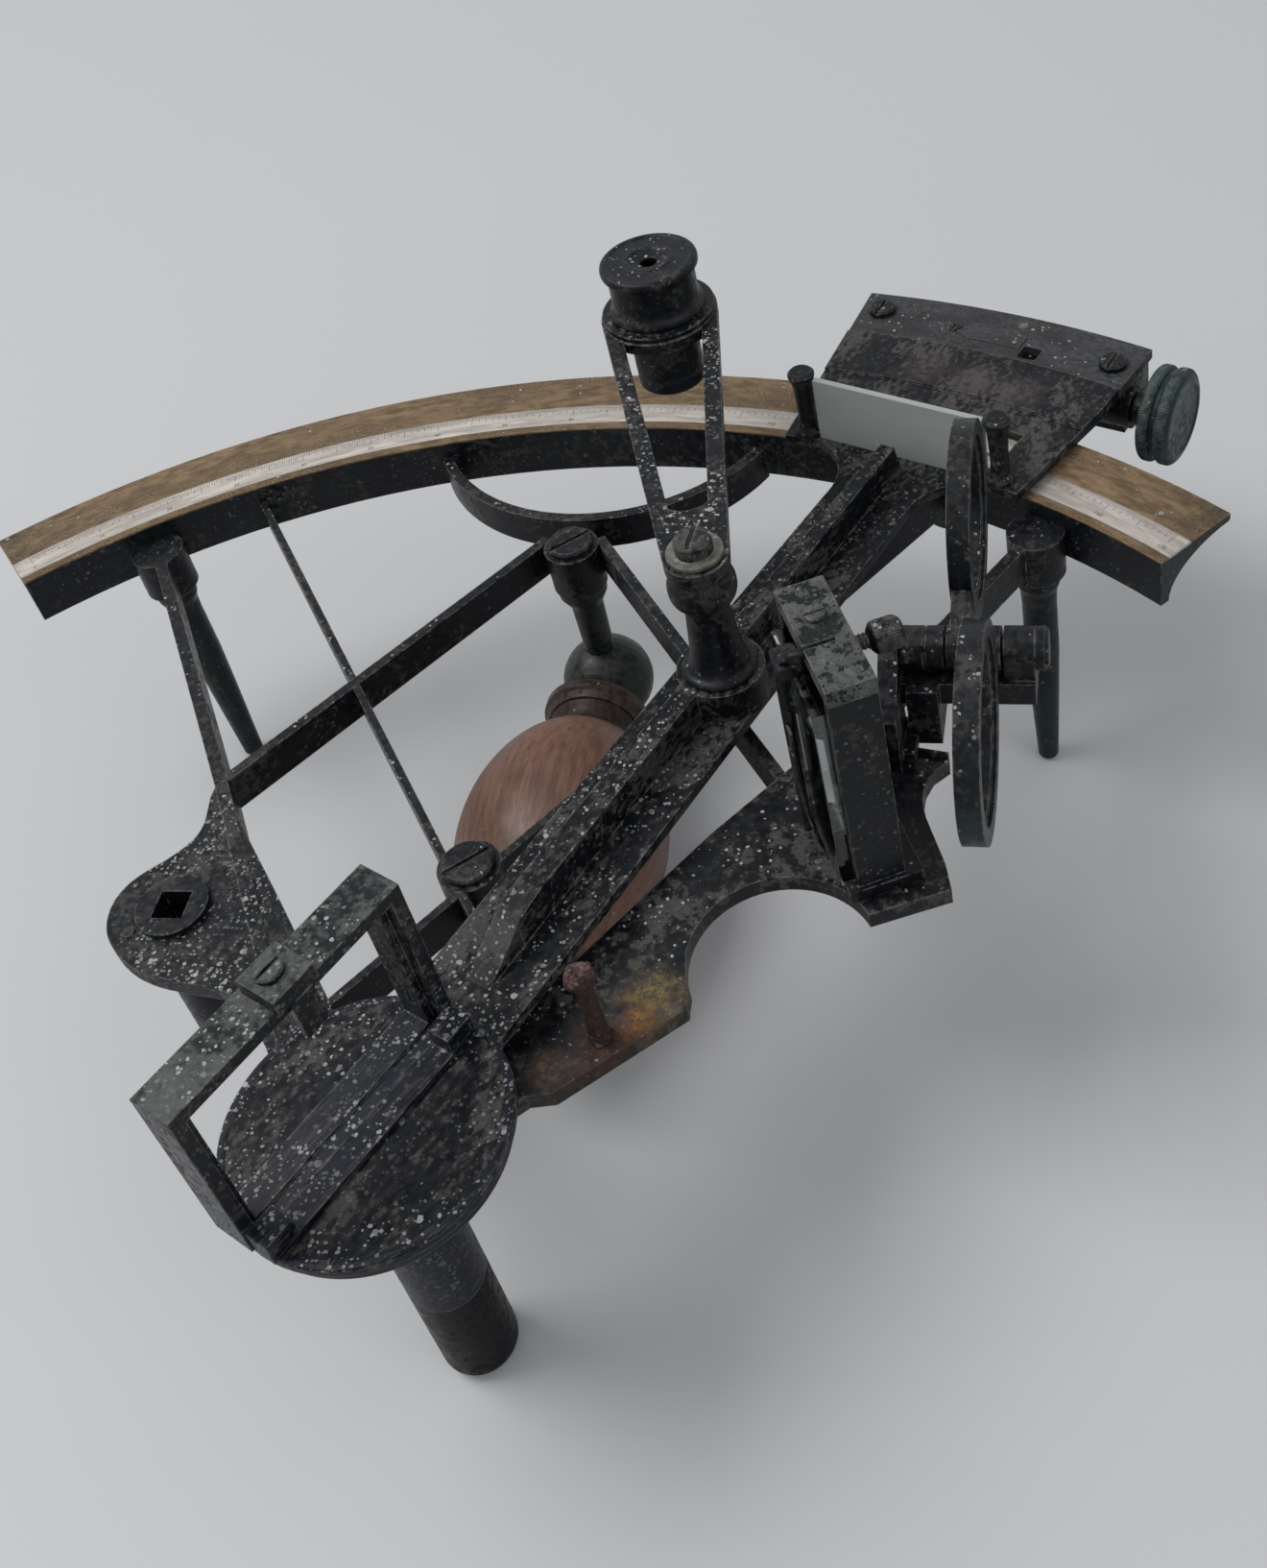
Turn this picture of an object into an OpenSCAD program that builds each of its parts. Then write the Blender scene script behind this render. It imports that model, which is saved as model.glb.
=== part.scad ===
// Vernier sextant lying on its three feet, telescope and index glass taken off.
// The axis of the index arm is the Z axis, the table is Z = 0 and the limb lies towards +Y.

/* [Overall] */
// Height of the limb's face above the table
limb_top = 72; // [62:1:84]
// Inner radius of the limb's face
limb_r = 180; // [174:1:186]
// Angle that the limb takes in, end to end
limb_span = 87.2; // [80:0.1:92]
// Direction of the index arm, from +X
arm_angle = 66.3; // [60:0.1:100]

/* [Limb] */
// Radial width of the limb's face
limb_w = 20; // [16:0.5:24]
// Depth of the limb's web below its face
limb_web_h = 11.5; // [9:0.5:14]
// Thickness of the web at its foot
limb_web_t = 2.2; // [1.5:0.1:4]
// Thickness of the flange at its tip
limb_tip_t = 1.8; // [1.2:0.1:3]
// Distance from the limb's inner edge to the silver arc
arc_inset = 2.2; // [1:0.1:4]
// Radial width of the silver arc
arc_w = 6.4; // [5:0.1:8]
// Depth of the silver arc
arc_t = 0.5; // [0.3:0.1:1]

/* [Frame] */
// Drop from the limb's face to the top of the bars
frame_drop = 4.2; // [3:0.1:6]
// Depth of the bars
bar_h = 8; // [6:0.5:9]
// Thickness of the two side bars
side_bar_t = 2.6; // [2:0.1:4]
// Thickness of the diagonals
diagonal_t = 2.2; // [1.5:0.1:3]
// Thickness of the crossing struts
strut_t = 1.6; // [1.2:0.1:2.5]
// Thickness of the arch under the limb
arch_t = 2.4; // [1.8:0.1:3.5]
// Radius of the arch
arch_r = 42; // [38:0.5:46]
// Thickness of the ear and of the lower plate
plate_t = 3.5; // [3:0.1:5]
// Radius of the frame's hub round the pivot
hub_disc_r = 14; // [12:0.5:18]
// Radius of the bosses that carry the legs and the handle
boss_r = 6; // [5:0.1:7]

/* [Legs and handle] */
// Radius of a leg at its shoulder
leg_top_r = 3.9; // [3.2:0.1:4.5]
// Radius of a leg just above its tip
leg_tip_r = 2.3; // [1.8:0.1:2.6]
// Radius of the sleeve and of the foot under the pivot
foot_r = 7.2; // [6.8:0.1:9]
// Height of the foot under the pivot
foot_h = 27; // [24:1:30]
// Height of the handle's axis above the table
handle_z = 27; // [24:1:30]
// Largest radius of the wooden grip
grip_r = 22.5; // [16:0.5:23]
// Length of the wooden grip
grip_l = 62; // [52:1:63]

/* [Index arm] */
// Gap between the limb's face and the arm
arm_gap = 0.8; // [0.8:0.1:1.5]
// Thickness of the arm's plate
arm_t = 2.2; // [1.8:0.1:3]
// Width of the arm near the pivot
arm_w = 20.4; // [16:0.1:22]
// Width of the arm at the limb
arm_w_end = 18.4; // [14:0.1:20]
// Height of the rib along the arm
rib_h = 6.8; // [4:0.1:9]
// Radius of the arm's disc
disc_r = 23.8; // [23:0.1:26]
// Half the angle that the arm's end plate takes in
sector_half = 9.05; // [8.5:0.05:9.5]
// Radius of the index axis
axis_r = 5; // [4:0.1:5.6]
// Length of the index axis below the frame's disc
axis_l = 30; // [26:1:34]

/* [Index glass frame] */
// Length of the frame that holds the index glass
mirror_l = 46.6; // [40:0.1:50]
// Height of that frame
mirror_h = 35; // [30:0.5:40]
// Depth of that frame
mirror_d = 8.1; // [6:0.1:10]
// Thickness of its top bar and legs
mirror_t = 3.8; // [3:0.1:5]
// Turn of the frame against the arm
mirror_turn = -3.1; // [-5:0.1:5]

/* [Magnifier] */
// Distance of the magnifier's post from the pivot
post_x = 103; // [95:0.1:110]
// Offset of that post from the arm's middle line
post_y = -2.2; // [-3:0.1:0]
// Height of the yoke above the limb's face
yoke_rise = 35; // [34.8:0.1:42]
// Distance from the post to the lens
yoke_l = 79.5; // [74:0.1:82]
// Turn of the yoke against the arm
yoke_turn = 38.7; // [-40:0.1:60]
// Outer radius of the lens tube
tube_r = 7.2; // [6:0.1:9]
// Length of the lens tube below the yoke
tube_l = 14.2; // [12:0.1:14.4]

/* [Tangent screw] */
// Radius of the tangent screw
tangent_r = 2.2; // [1.6:0.1:2.6]
// Radius of its milled head
tangent_knob_r = 10.8; // [8:0.1:12]
// Distance of its axis from the pivot
tangent_x = 219.5; // [218:0.1:221]
// Depth of its axis below the limb's face
tangent_drop = 5; // [4.9:0.1:6]

/* [Horizon glass] */
// Length of the holder
horizon_l = 26; // [22:0.5:28]
// Depth of the holder
horizon_d = 8.5; // [7:0.1:10]
// Height of the holder above the plate
horizon_h = 46.6; // [44:0.1:54]

/* [Shades] */
// Outer radius of a shade's ring
shade_r = 18.8; // [16:0.1:20]
// Radius of the opening in a shade's ring
shade_bore_r = 14.2; // [12:0.1:16]
// Distance from the shades' axle to the middle of a ring
shade_reach = 28.4; // [27.5:0.1:30]
// Radius of the shades' axle
shade_axle_r = 1.6; // [1.2:0.1:2]

/* [Fits] */
// Running clearance between a shaft and its bore
run_gap = 0.05; // [0.02:0.01:0.08]
// Gap between a moving face and its neighbour
move_gap = 0.3; // [0.3:0.05:0.5]
// Seam between two pieces of the cast frame
seam = 0.02; // [0.01:0.01:0.05]

/* [Hidden] */
$fn = 48;

frame_top = limb_top - frame_drop;
frame_low = frame_top - bar_h;
limb_out = limb_r + limb_w;
limb_start = 90 - limb_span / 2;
arc_r0 = limb_r + arc_inset;
arc_r1 = arc_r0 + arc_w;
arm_low = limb_top + arm_gap;
arm_top = arm_low + arm_t;
rib_top = arm_top + rib_h;

// Places on the frame, mirrored about the middle radius
leg_xy = [99.3, 145.4];
joint_xy = [56.6, 76];
upper_boss_xy = [0, 144];
lower_boss_xy = [0, 56.5];
diagonal_xy = [6, 146.5];
strut_limb_xy = [84, 168.8];
cross_y = 50.8;
strut_low_xy = [23.5, 17.9];
rib_low_xy = [12, 0];
boss_depth = 10.4;
arch_y = 153.5 + arch_r;
ear_points = [[-57.6, 74.4], [-56.4, 66.1], [-57.2, 61.7], [-60.5, 57.2], [-63.9, 54], [-66.5, 50.2], [-67.3, 45.6],
              [-66, 40.6], [-62.7, 36.4], [-57.8, 33], [-52.4, 31], [-46, 29.8], [-36, 27.6], [-26, 17.6],
              [-13, 1], [-4, 8], [-52, 70]];
plate_points = [[8, 14], [6, 4], [13, 2], [22, 10.4], [26.4, 11.2], [42.6, 25.4], [42.9, 32], [60, 30], [71.2, 46.6],
                [87.6, 53.4], [86.2, 58.9], [82.2, 69], [81.2, 73], [81.4, 76.4], [82.6, 79.6], [85.4, 82.4],
                [85.2, 84.6], [75.5, 86.6], [61.4, 88.6], [57.4, 82], [43.7, 64.6], [24, 35.8]];
bush_xy = [-54.5, 45.7];
bush_r = 6.4;
rise_tube_l = 24;
stud_xy = [32.2, 21.9];
hollow_xy = [60, 39];
hollow_r = 16.4;
spigot_r = 2.5;
screw_r = 1.8;
spigot_l = 5;

sleeve_low = foot_h;
flange_r = disc_r - 1.2;
flange_low = limb_top - 2.3;
axis_low = frame_low - axis_l;

// Plate at the end of the index arm, in the arm's own directions
sector_r0 = 177;
strip_r0 = limb_out + 1.5;
sector_r1 = 216.7;
cover_r0 = sector_r1 + 0.6;
cover_r1 = 233;
strip_rise = 0.5;
window_r0 = 181.5;
window_r1 = 194;
window_half = 6.2;
vernier_t = 0.5;
flare_r = 14.5;
flare_x = 163.5;
screen_x = 179;
screen_half = 7.4;
screen_h = 16;
magnifier_boss_r = 8.4;

tangent_z = limb_top - tangent_drop;
barrel_r = 4.7;
barrel_y0 = -26;
barrel_y1 = -34.8;
knob_y0 = -38.4;
knob_y1 = -46;
lug_y0 = -14;
lug_y1 = -4;
block_y0 = 22;
block_y1 = 33;
block_x0 = 208.5;
block_x1 = 231;
block_low = tangent_z - 6;
clamp_wall_t = 4;
shoe_z = limb_top - 16;
shoe_t = 3;
clamp_x = 197;
clamp_half = 8;
jaw_x0 = 193;
jaw_top = limb_top - 3.45;
jaw_h = 6.4;
front_x0 = 203;
front_x1 = 208.5;

// Yoke, lens and screw of the magnifier
yoke_z = limb_top + yoke_rise;
yoke_t = 2.4;
yoke_end_r = 6;
ring_r = 12.3;
ring_h = 3.6;
drum_r = 10.1;
neck_r = 9.1;
drum_h = 9.4;
cap_h = 2.2;
lens_x = yoke_l;

// Horizon glass, its holder and its adjusting screw
horizon_xy = [70.5, 65];
horizon_turn = 25.2;
holder_wall = 2;
holder_top = frame_top + horizon_h;
foot_t = 2.7;
glass_t = 2.3;
adjuster_y = 2.6;
adjuster_z = limb_top + 38.4;
adjuster_r = 1.5;
adjuster_knob_r = 2.9;

// Shades and their bracket
axle_xy = [91, 93.8];
axle_z = limb_top + 13.5;
axle_turn = -1;
hub_r = 4;
ring_t = 4.2;
upper_ring_x = -5.1;
lower_ring_x = 0.3;
upper_shade_angle = 14;
lower_shade_angle = 164.6;
block_top_drop = 4.4;
bracket_block_h = 5;

// Handle, along the middle radius
ferrule_y = 144;
dome_r = 10.4;
bead_r = 12;
bead_y = 131;
grip_y1 = 128;
grip_y0 = grip_y1 - grip_l;
post_r = 3.4;

function polar(r, a) = [r * cos(a), r * sin(a)];
// Points moved outwards by g from a middle point
function grown(points, mid, g) = [for (p = points) p + g * (p - mid) / norm(p - mid)];
// A closed curve through the points, n steps to each
function curve(points, n = 3) = let (k = len(points))
  [for (i = [0:k - 1]) for (j = [0:n - 1]) let (u = j / n, a = points[(i + k - 1) % k], b = points[i],
    c = points[(i + 1) % k], d = points[(i + 2) % k])
    0.5 * (2 * b + u * (c - a) + u * u * (2 * a - 5 * b + 4 * c - d) + u * u * u * (3 * b - a - 3 * c + d))];

module at_arm() { rotate([0, 0, arm_angle]) children(); }
module at_yoke() { at_arm() translate([post_x, post_y, 0]) rotate([0, 0, yoke_turn]) children(); }
module at_horizon() { translate(horizon_xy) rotate([0, 0, horizon_turn]) children(); }
module at_axle() { translate([axle_xy[0], axle_xy[1], axle_z]) rotate([0, 0, axle_turn]) children(); }
module both_sides() { children(); mirror([1, 0, 0]) children(); }

// A straight bar of width w between two points, seen from above
module bar2d(p, q, w) {
  d = (q - p) / norm(q - p);
  n = [-d[1], d[0]] * w / 2;
  polygon([p + n, p - n, q - n, q + n]);
}

// A part of a ring between two angles
module ring_part(r0, r1, a0, a1, z0, h) {
  rotate([0, 0, a0]) rotate_extrude(angle = a1 - a0, $fn = 180) translate([r0, z0]) square([r1 - r0, h]);
}

// A round head with a slot, its underside at z = 0
module slotted_head(r, h, slot_w, slot_d) {
  difference() {
    union() {
      cylinder(r = r, h = h * 0.7);
      translate([0, 0, h * 0.7]) cylinder(r1 = r, r2 = r - h * 0.3, h = h * 0.3);
    }
    translate([-r - 1, -slot_w / 2, h - slot_d]) cube([2 * r + 2, slot_w, slot_d + 1]);
  }
}

// Outlines of the cast frame, each grown by g where another piece is cut clear of it
module side_outline(g = 0) {
  both_sides() {
    bar2d(leg_xy, joint_xy, side_bar_t + 2 * g);
    translate(leg_xy) circle(r = boss_r + g);
  }
}
module diagonal_outline(g = 0) { both_sides() bar2d(diagonal_xy, joint_xy, diagonal_t + 2 * g); }
module strut_outline(g = 0) {
  both_sides() {
    bar2d(strut_limb_xy, [0, cross_y], strut_t + 2 * g);
    bar2d([0, cross_y], [-strut_low_xy[0], strut_low_xy[1]], strut_t + 2 * g);
  }
}
module arch_outline(g = 0) {
  difference() {
    translate([0, arch_y]) circle(r = arch_r + arch_t / 2 + g, $fn = 96);
    translate([0, arch_y]) circle(r = arch_r - arch_t / 2 - g, $fn = 96);
  }
}
module ear_outline(g = 0) {
  polygon(curve(grown(ear_points, [-50, 46], g)));
  bar2d([-joint_xy[0], joint_xy[1]], [-rib_low_xy[0], rib_low_xy[1]], side_bar_t + 2 * g);
}
module plate_outline(g = 0) {
  difference() {
    polygon(grown(plate_points, [50, 58], g));
    translate(hollow_xy) circle(r = hollow_r - g);
  }
}
module boss_outline(xy, g = 0) { translate(xy) circle(r = boss_r + g); }
module inside_limb() { circle(r = limb_r - seam, $fn = 180); }

// Section of the limb: a thin web with a wide flange that a hollow curve carries
module limb_profile() {
  foot_x = limb_r + limb_web_t;
  tip_x = limb_out - 0.5;
  curve_h = limb_web_h - limb_tip_t;
  polygon(concat(
    [[limb_r, limb_top], [limb_r, limb_top - limb_web_h]],
    [for (i = [0:10]) let (t = 90 * i / 10)
      [tip_x - (tip_x - foot_x) * cos(t), limb_top - limb_web_h + curve_h * sin(t)]],
    [[limb_out, limb_top - limb_tip_t + 0.3], [limb_out, limb_top], [arc_r1, limb_top],
     [arc_r1, limb_top - arc_t], [arc_r0, limb_top - arc_t], [arc_r0, limb_top]]));
}

module limb() {
  color("darkgoldenrod") rotate([0, 0, limb_start]) rotate_extrude(angle = limb_span, $fn = 180) limb_profile();
}

module arc_scale() {
  color("silver")
  ring_part(arc_r0 + seam, arc_r1 - seam, limb_start, limb_start + limb_span, limb_top - arc_t, arc_t);
}

module side_bars() {
  color("dimgray") difference() {
    union() {
      translate([0, 0, frame_low]) linear_extrude(bar_h) difference() {
        intersection() {
          side_outline();
          inside_limb();
        }
        ear_outline(seam);
        plate_outline(seam);
      }
      translate([0, 0, frame_top - boss_depth]) linear_extrude(boss_depth) intersection() {
        both_sides() boss_outline(leg_xy);
        inside_limb();
      }
    }
    both_sides() translate([leg_xy[0], leg_xy[1], frame_top - boss_depth - 1])
      cylinder(r = spigot_r + run_gap, h = spigot_l + 1.2);
  }
}

module diagonals() {
  color("dimgray") translate([0, 0, frame_low]) linear_extrude(bar_h) difference() {
    diagonal_outline();
    side_outline(seam);
    ear_outline(seam);
    plate_outline(seam);
    boss_outline(upper_boss_xy, seam);
    arch_outline(seam);
  }
}

module struts() {
  color("dimgray") translate([0, 0, frame_low]) linear_extrude(bar_h) difference() {
    intersection() {
      strut_outline();
      inside_limb();
    }
    diagonal_outline(seam);
    side_outline(seam);
    boss_outline(lower_boss_xy, seam);
    ear_outline(seam);
    plate_outline(seam);
  }
}

module arch_brace() {
  color("dimgray") translate([0, 0, frame_low]) linear_extrude(bar_h) difference() {
    intersection() {
      arch_outline();
      inside_limb();
    }
    boss_outline(upper_boss_xy, seam);
  }
}

// A boss of the frame, drilled for a screw from above and a post from below
module boss(xy) {
  translate([xy[0], xy[1], frame_top - boss_depth]) difference() {
    cylinder(r = boss_r, h = boss_depth);
    translate([0, 0, -1]) cylinder(r = spigot_r + run_gap, h = spigot_l + 1.2);
    translate([0, 0, -1]) cylinder(r = screw_r + run_gap, h = boss_depth + 2);
  }
}

module upper_boss() { color("dimgray") boss(upper_boss_xy); }
module lower_boss() { color("dimgray") boss(lower_boss_xy); }

module ear_plate() {
  color("dimgray") difference() {
    union() {
      translate([0, 0, frame_top - plate_t - 0.5]) linear_extrude(plate_t) difference() {
        ear_outline();
        circle(r = hub_disc_r + seam);
      }
      translate([0, 0, frame_low]) linear_extrude(bar_h) difference() {
        bar2d([-joint_xy[0], joint_xy[1]], [-rib_low_xy[0], rib_low_xy[1]], side_bar_t);
        circle(r = hub_disc_r + seam);
      }
      translate([bush_xy[0], bush_xy[1], frame_low]) cylinder(r = 9, h = 4.5);
    }
    translate([bush_xy[0], bush_xy[1], frame_low - 1]) cylinder(r = bush_r + run_gap, h = bar_h + 2);
    translate([-61.3, 40.1, frame_top - 2]) cylinder(r = 1.2 + run_gap, h = 3);
  }
}

module lower_plate() {
  color("dimgray") difference() {
    union() {
      translate([0, 0, frame_top - plate_t]) linear_extrude(plate_t) difference() {
        plate_outline();
        circle(r = hub_disc_r + seam);
      }
      translate([0, 0, frame_low]) linear_extrude(bar_h) difference() {
        intersection() {
          bar2d([joint_xy[0] + 0.4, joint_xy[1] + 3], [rib_low_xy[0] - 2, rib_low_xy[1] + 2], side_bar_t);
          plate_outline();
        }
        circle(r = hub_disc_r + seam);
      }
    }
    translate([stud_xy[0], stud_xy[1], frame_low - 1]) cylinder(r = 1.5 + run_gap, h = bar_h + 2);
  }
}

// Hub and bearing sleeve that carry the index axis
module pivot_disc() {
  color("dimgray") difference() {
    union() {
      translate([0, 0, frame_low]) cylinder(r = hub_disc_r, h = arm_low - move_gap - frame_low, $fn = 96);
      translate([0, 0, flange_low]) cylinder(r = flange_r, h = arm_low - move_gap - flange_low, $fn = 96);
      translate([0, 0, sleeve_low]) cylinder(r = foot_r, h = frame_low - sleeve_low);
      translate([0, 0, frame_low - 3]) cylinder(r1 = foot_r, r2 = foot_r + 3, h = 3);
    }
    translate([0, 0, sleeve_low - 1]) cylinder(r = axis_r + run_gap, h = limb_top);
    translate([0, 0, sleeve_low - 1]) cylinder(r = axis_r + 1, h = axis_low + move_gap - sleeve_low + 1);
  }
}

// Half profile of a turned leg, tip down
module leg_shape() {
  h = frame_top - boss_depth;
  rotate_extrude() polygon([[0, 0], [leg_tip_r - 0.7, 0], [leg_tip_r, 0.9], [leg_tip_r + 0.2, 6],
    [leg_top_r - 0.7, 22], [leg_top_r - 0.2, h - 22], [leg_top_r - 0.2, h - 9],
    [leg_top_r, h - 5], [leg_top_r + 0.7, h - 3], [leg_top_r + 0.7, h - 1.4], [boss_r - 0.8, h],
    [spigot_r, h], [spigot_r, h + spigot_l], [0, h + spigot_l]]);
}
module left_leg() { color("dimgray") translate([-leg_xy[0], leg_xy[1], 0]) leg_shape(); }
module right_leg() { color("dimgray") translate([leg_xy[0], leg_xy[1], 0]) leg_shape(); }

// Closed foot that covers the end of the index axis
module pivot_foot() {
  dome = 3.6;
  color("dimgray") difference() {
    rotate_extrude() polygon(concat([[0, 0]],
      [for (i = [0:6]) let (t = 15 * i) [foot_r - dome + dome * sin(t), dome - dome * cos(t)]],
      [[foot_r, sleeve_low - seam], [0, sleeve_low - seam]]));
    translate([0, 0, 14]) cylinder(r = axis_r + 1, h = sleeve_low);
  }
}

// Post between a boss and the handle, its lower end inside the ferrule
module handle_post(xy) {
  h = frame_top - boss_depth;
  low = handle_z + 4;
  translate([xy[0], xy[1], low]) rotate_extrude() polygon([[0, 0], [post_r - 0.6, 0], [post_r - 0.6, 7.4],
    [post_r, 9.4], [post_r + 0.2, h - low - 6], [boss_r - 0.6, h - low - 2.5], [boss_r - 0.6, h - low],
    [spigot_r, h - low], [spigot_r, h - low + spigot_l], [screw_r + run_gap, h - low + spigot_l],
    [screw_r + run_gap, h - low - 3], [0, h - low - 3]]);
}
module upper_handle_post() { color("dimgray") handle_post(upper_boss_xy); }
module lower_handle_post() { color("dimgray") handle_post(lower_boss_xy); }

module boss_screws() {
  color("slategray") for (xy = [upper_boss_xy, lower_boss_xy]) translate([xy[0], xy[1], frame_top]) {
    rotate([0, 0, 40]) slotted_head(boss_r - 1, 1.6, 1, 0.8);
    translate([0, 0, -boss_depth - 1]) cylinder(r = screw_r, h = boss_depth + 1);
  }
}

// Turned end of the handle: points are [distance along the handle, radius]
module turned_y(points) {
  translate([0, 0, handle_z]) rotate([-90, 0, 0]) rotate_extrude()
    polygon(concat([[0, points[0][0]]], [for (p = points) [p[1], p[0]]], [[0, points[len(points) - 1][0]]]));
}
// Blind hole for a post, turned so that its seam misses the joints of the turned profile
module post_socket(xy) {
  translate([xy[0], xy[1], handle_z + 4 - seam]) rotate([0, 0, 25])
    cylinder(r = post_r - 0.6 + run_gap, h = 20);
}
module rod_hole() {
  translate([0, lower_boss_xy[1] + 3.5, handle_z]) rotate([-90, 0, 0])
    cylinder(r = 1.5 + run_gap, h = upper_boss_xy[1] - lower_boss_xy[1] - 7);
}
module upper_ferrule() {
  color("dimgray") difference() {
    turned_y(concat([[grip_y1 + seam, 10.4], [bead_y - 1.6, bead_r - 0.8], [bead_y - 0.9, bead_r],
      [bead_y + 0.9, bead_r], [bead_y + 1.6, bead_r - 0.8], [bead_y + 2, 9.4]],
      [for (a = [-50:10:80]) [ferrule_y + dome_r * sin(a), dome_r * cos(a)]],
      [[ferrule_y + dome_r, 0.5]]));
    post_socket(upper_boss_xy);
    rod_hole();
  }
}
module lower_ferrule() {
  y1 = grip_y0 - seam;
  color("dimgray") difference() {
    turned_y(concat([for (a = [-80:10:0]) [lower_boss_xy[1] + 8.4 * sin(a), 8.4 * cos(a)]],
      [[(lower_boss_xy[1] + y1 - 6) / 2, 8], [y1 - 6, 9], [y1 - 4, 10], [y1 - 1.6, 10], [y1, 9]]));
    post_socket(lower_boss_xy);
    rod_hole();
  }
}
module handle_grip() {
  color("sienna") difference() {
    turned_y([for (i = [0:20]) let (s = i / 10 - 1)
      [grip_y0 + grip_l * i / 20, 9 + (grip_r - 9) * pow(1 - s * s, 0.85)]]);
    rod_hole();
  }
}
module handle_rod() {
  color("gray") translate([0, lower_boss_xy[1] + 4, handle_z]) rotate([-90, 0, 0])
    cylinder(r = 1.5, h = upper_boss_xy[1] - lower_boss_xy[1] - 8);
}

// Telescope socket: round bush with a square hole for the stem
module telescope_bush() {
  color("slategray") translate([bush_xy[0], bush_xy[1], frame_low]) difference() {
    union() {
      cylinder(r = bush_r, h = bar_h);
      translate([0, 0, bar_h - 0.5]) cylinder(r = bush_r + 0.5, h = 1.3);
    }
    rotate([0, 0, 1]) translate([-3.05, -3.05, -1]) cube([6.1, 6.1, bar_h + 3]);
  }
}
module rise_tube() {
  color("dimgray") translate([bush_xy[0], bush_xy[1], frame_low - rise_tube_l]) difference() {
    cylinder(r = 6.9, h = rise_tube_l - seam);
    translate([0, 0, 3]) cylinder(r = 4.6, h = rise_tube_l);
    translate([0, 0, -1]) cylinder(r = 1.9 + run_gap, h = 6);
  }
}
module rise_screw() {
  color("slategray") translate([bush_xy[0], bush_xy[1], frame_low - rise_tube_l]) {
    translate([0, 0, -1.5]) cylinder(r = 1.9, h = rise_tube_l + 1);
    translate([0, 0, -6.5]) cylinder(r = 5.6, h = 5, $fn = 24);
    translate([0, 0, -1.5]) cylinder(r = 2.6, h = 1.2);
  }
}
module ear_pin() {
  color("gray") translate([-61.3, 40.1, frame_top - 2]) cylinder(r = 1.2, h = 1.8);
}

// Holder of the horizon glass: an open tray on a foot
module horizon_holder() {
  x0 = -horizon_d / 2;
  y0 = -horizon_l / 2;
  color("dimgray") at_horizon() difference() {
    union() {
      translate([x0 - 2, y0 - 1, frame_top]) cube([horizon_d + 5, horizon_l + 2, foot_t]);
      translate([x0, y0, frame_top]) cube([horizon_d, horizon_l, horizon_h]);
    }
    translate([x0 - 1, y0 + holder_wall, frame_top + foot_t + 2])
      cube([horizon_d - holder_wall + 1, horizon_l - 2 * holder_wall, horizon_h]);
    translate([x0 - 2.3 - 1, y0 + 2, frame_top + foot_t - 1]) cube([3.3, horizon_l - 4, 3]);
    translate([0, adjuster_y, adjuster_z]) rotate([0, 90, 0]) cylinder(r = adjuster_r + run_gap, h = 20);
  }
}
module horizon_glass() {
  color("lightsteelblue") at_horizon() translate([-horizon_d / 2 - glass_t - 0.05, -horizon_l / 2 + 2.2, frame_top + foot_t - 1])
    cube([glass_t, horizon_l - 4.4, horizon_h - 5]);
}
module horizon_clip() {
  color("slategray") at_horizon() difference() {
    union() {
      translate([-horizon_d / 2, -horizon_l / 2, holder_top]) cube([horizon_d, horizon_l, 3.2]);
      translate([0, 4.2, holder_top + 3.2]) slotted_head(2, 1, 0.6, 0.5);
    }
    translate([-horizon_d / 2 - 1, -2.4, holder_top + 1]) cube([horizon_d - 2, 0.8, 3]);
  }
}
module horizon_rod() {
  x = -horizon_d / 2 - glass_t - 1.4;
  top = frame_top + foot_t + horizon_h - 5;
  color("gray") at_horizon() {
    translate([x, 3, frame_top + foot_t]) cylinder(r = 1, h = top - frame_top - foot_t, $fn = 24);
    translate([x - 1, 2, top]) cube([glass_t + 3.4, 2, 1.2]);
  }
}
module horizon_adjuster() {
  color("slategray") at_horizon() translate([0, adjuster_y, adjuster_z]) rotate([0, 90, 0]) {
    translate([0, 0, 1]) cylinder(r = adjuster_r, h = 8);
    translate([0, 0, 7.6]) cylinder(r1 = 2, r2 = adjuster_knob_r, h = 1);
    translate([0, 0, 8.6]) cylinder(r = adjuster_knob_r, h = 4.2);
    translate([0, 0, 12.8]) cylinder(r1 = adjuster_knob_r, r2 = 2.2, h = 0.8);
  }
}

// Bracket of the horizon shades: a foot, a block and two lugs round the axle
module shade_bracket() {
  low = frame_top - axle_z;
  block_z = -block_top_drop - bracket_block_h;
  color("dimgray") at_axle() difference() {
    union() {
      translate([-12.6, -7.2, low]) cube([5.8, 10, block_z + bracket_block_h - low]);
      translate([-14, -5, block_z]) cube([24.5, 9, bracket_block_h]);
      translate([-17.2, 0, 0]) rotate([90, 0, 90]) linear_extrude(3.6)
        polygon([[-14.4, low], [-3, low], [-4.6, -10], [-4, -5], [4, -5], [4, 0], [2.8, 2.8], [0, 4.4], [-2.8, 3.4],
                 [-9, -1.6], [-14.4, -5]]);
      translate([-17.2, -12, low]) cube([6, 9.4, 2.2]);
      translate([5, 0, 0]) rotate([0, 90, 0]) cylinder(r = hub_r, h = 5.5);
      translate([5, -hub_r, block_z]) cube([5.5, 2 * hub_r, -block_z]);
    }
    translate([-20, 0, 0]) rotate([0, 90, 0]) cylinder(r = shade_axle_r + run_gap, h = 40);
    translate([-18, -11.2, low + 11.6]) rotate([0, 90, 0]) cylinder(r = 0.9, h = 6);
  }
}
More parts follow.
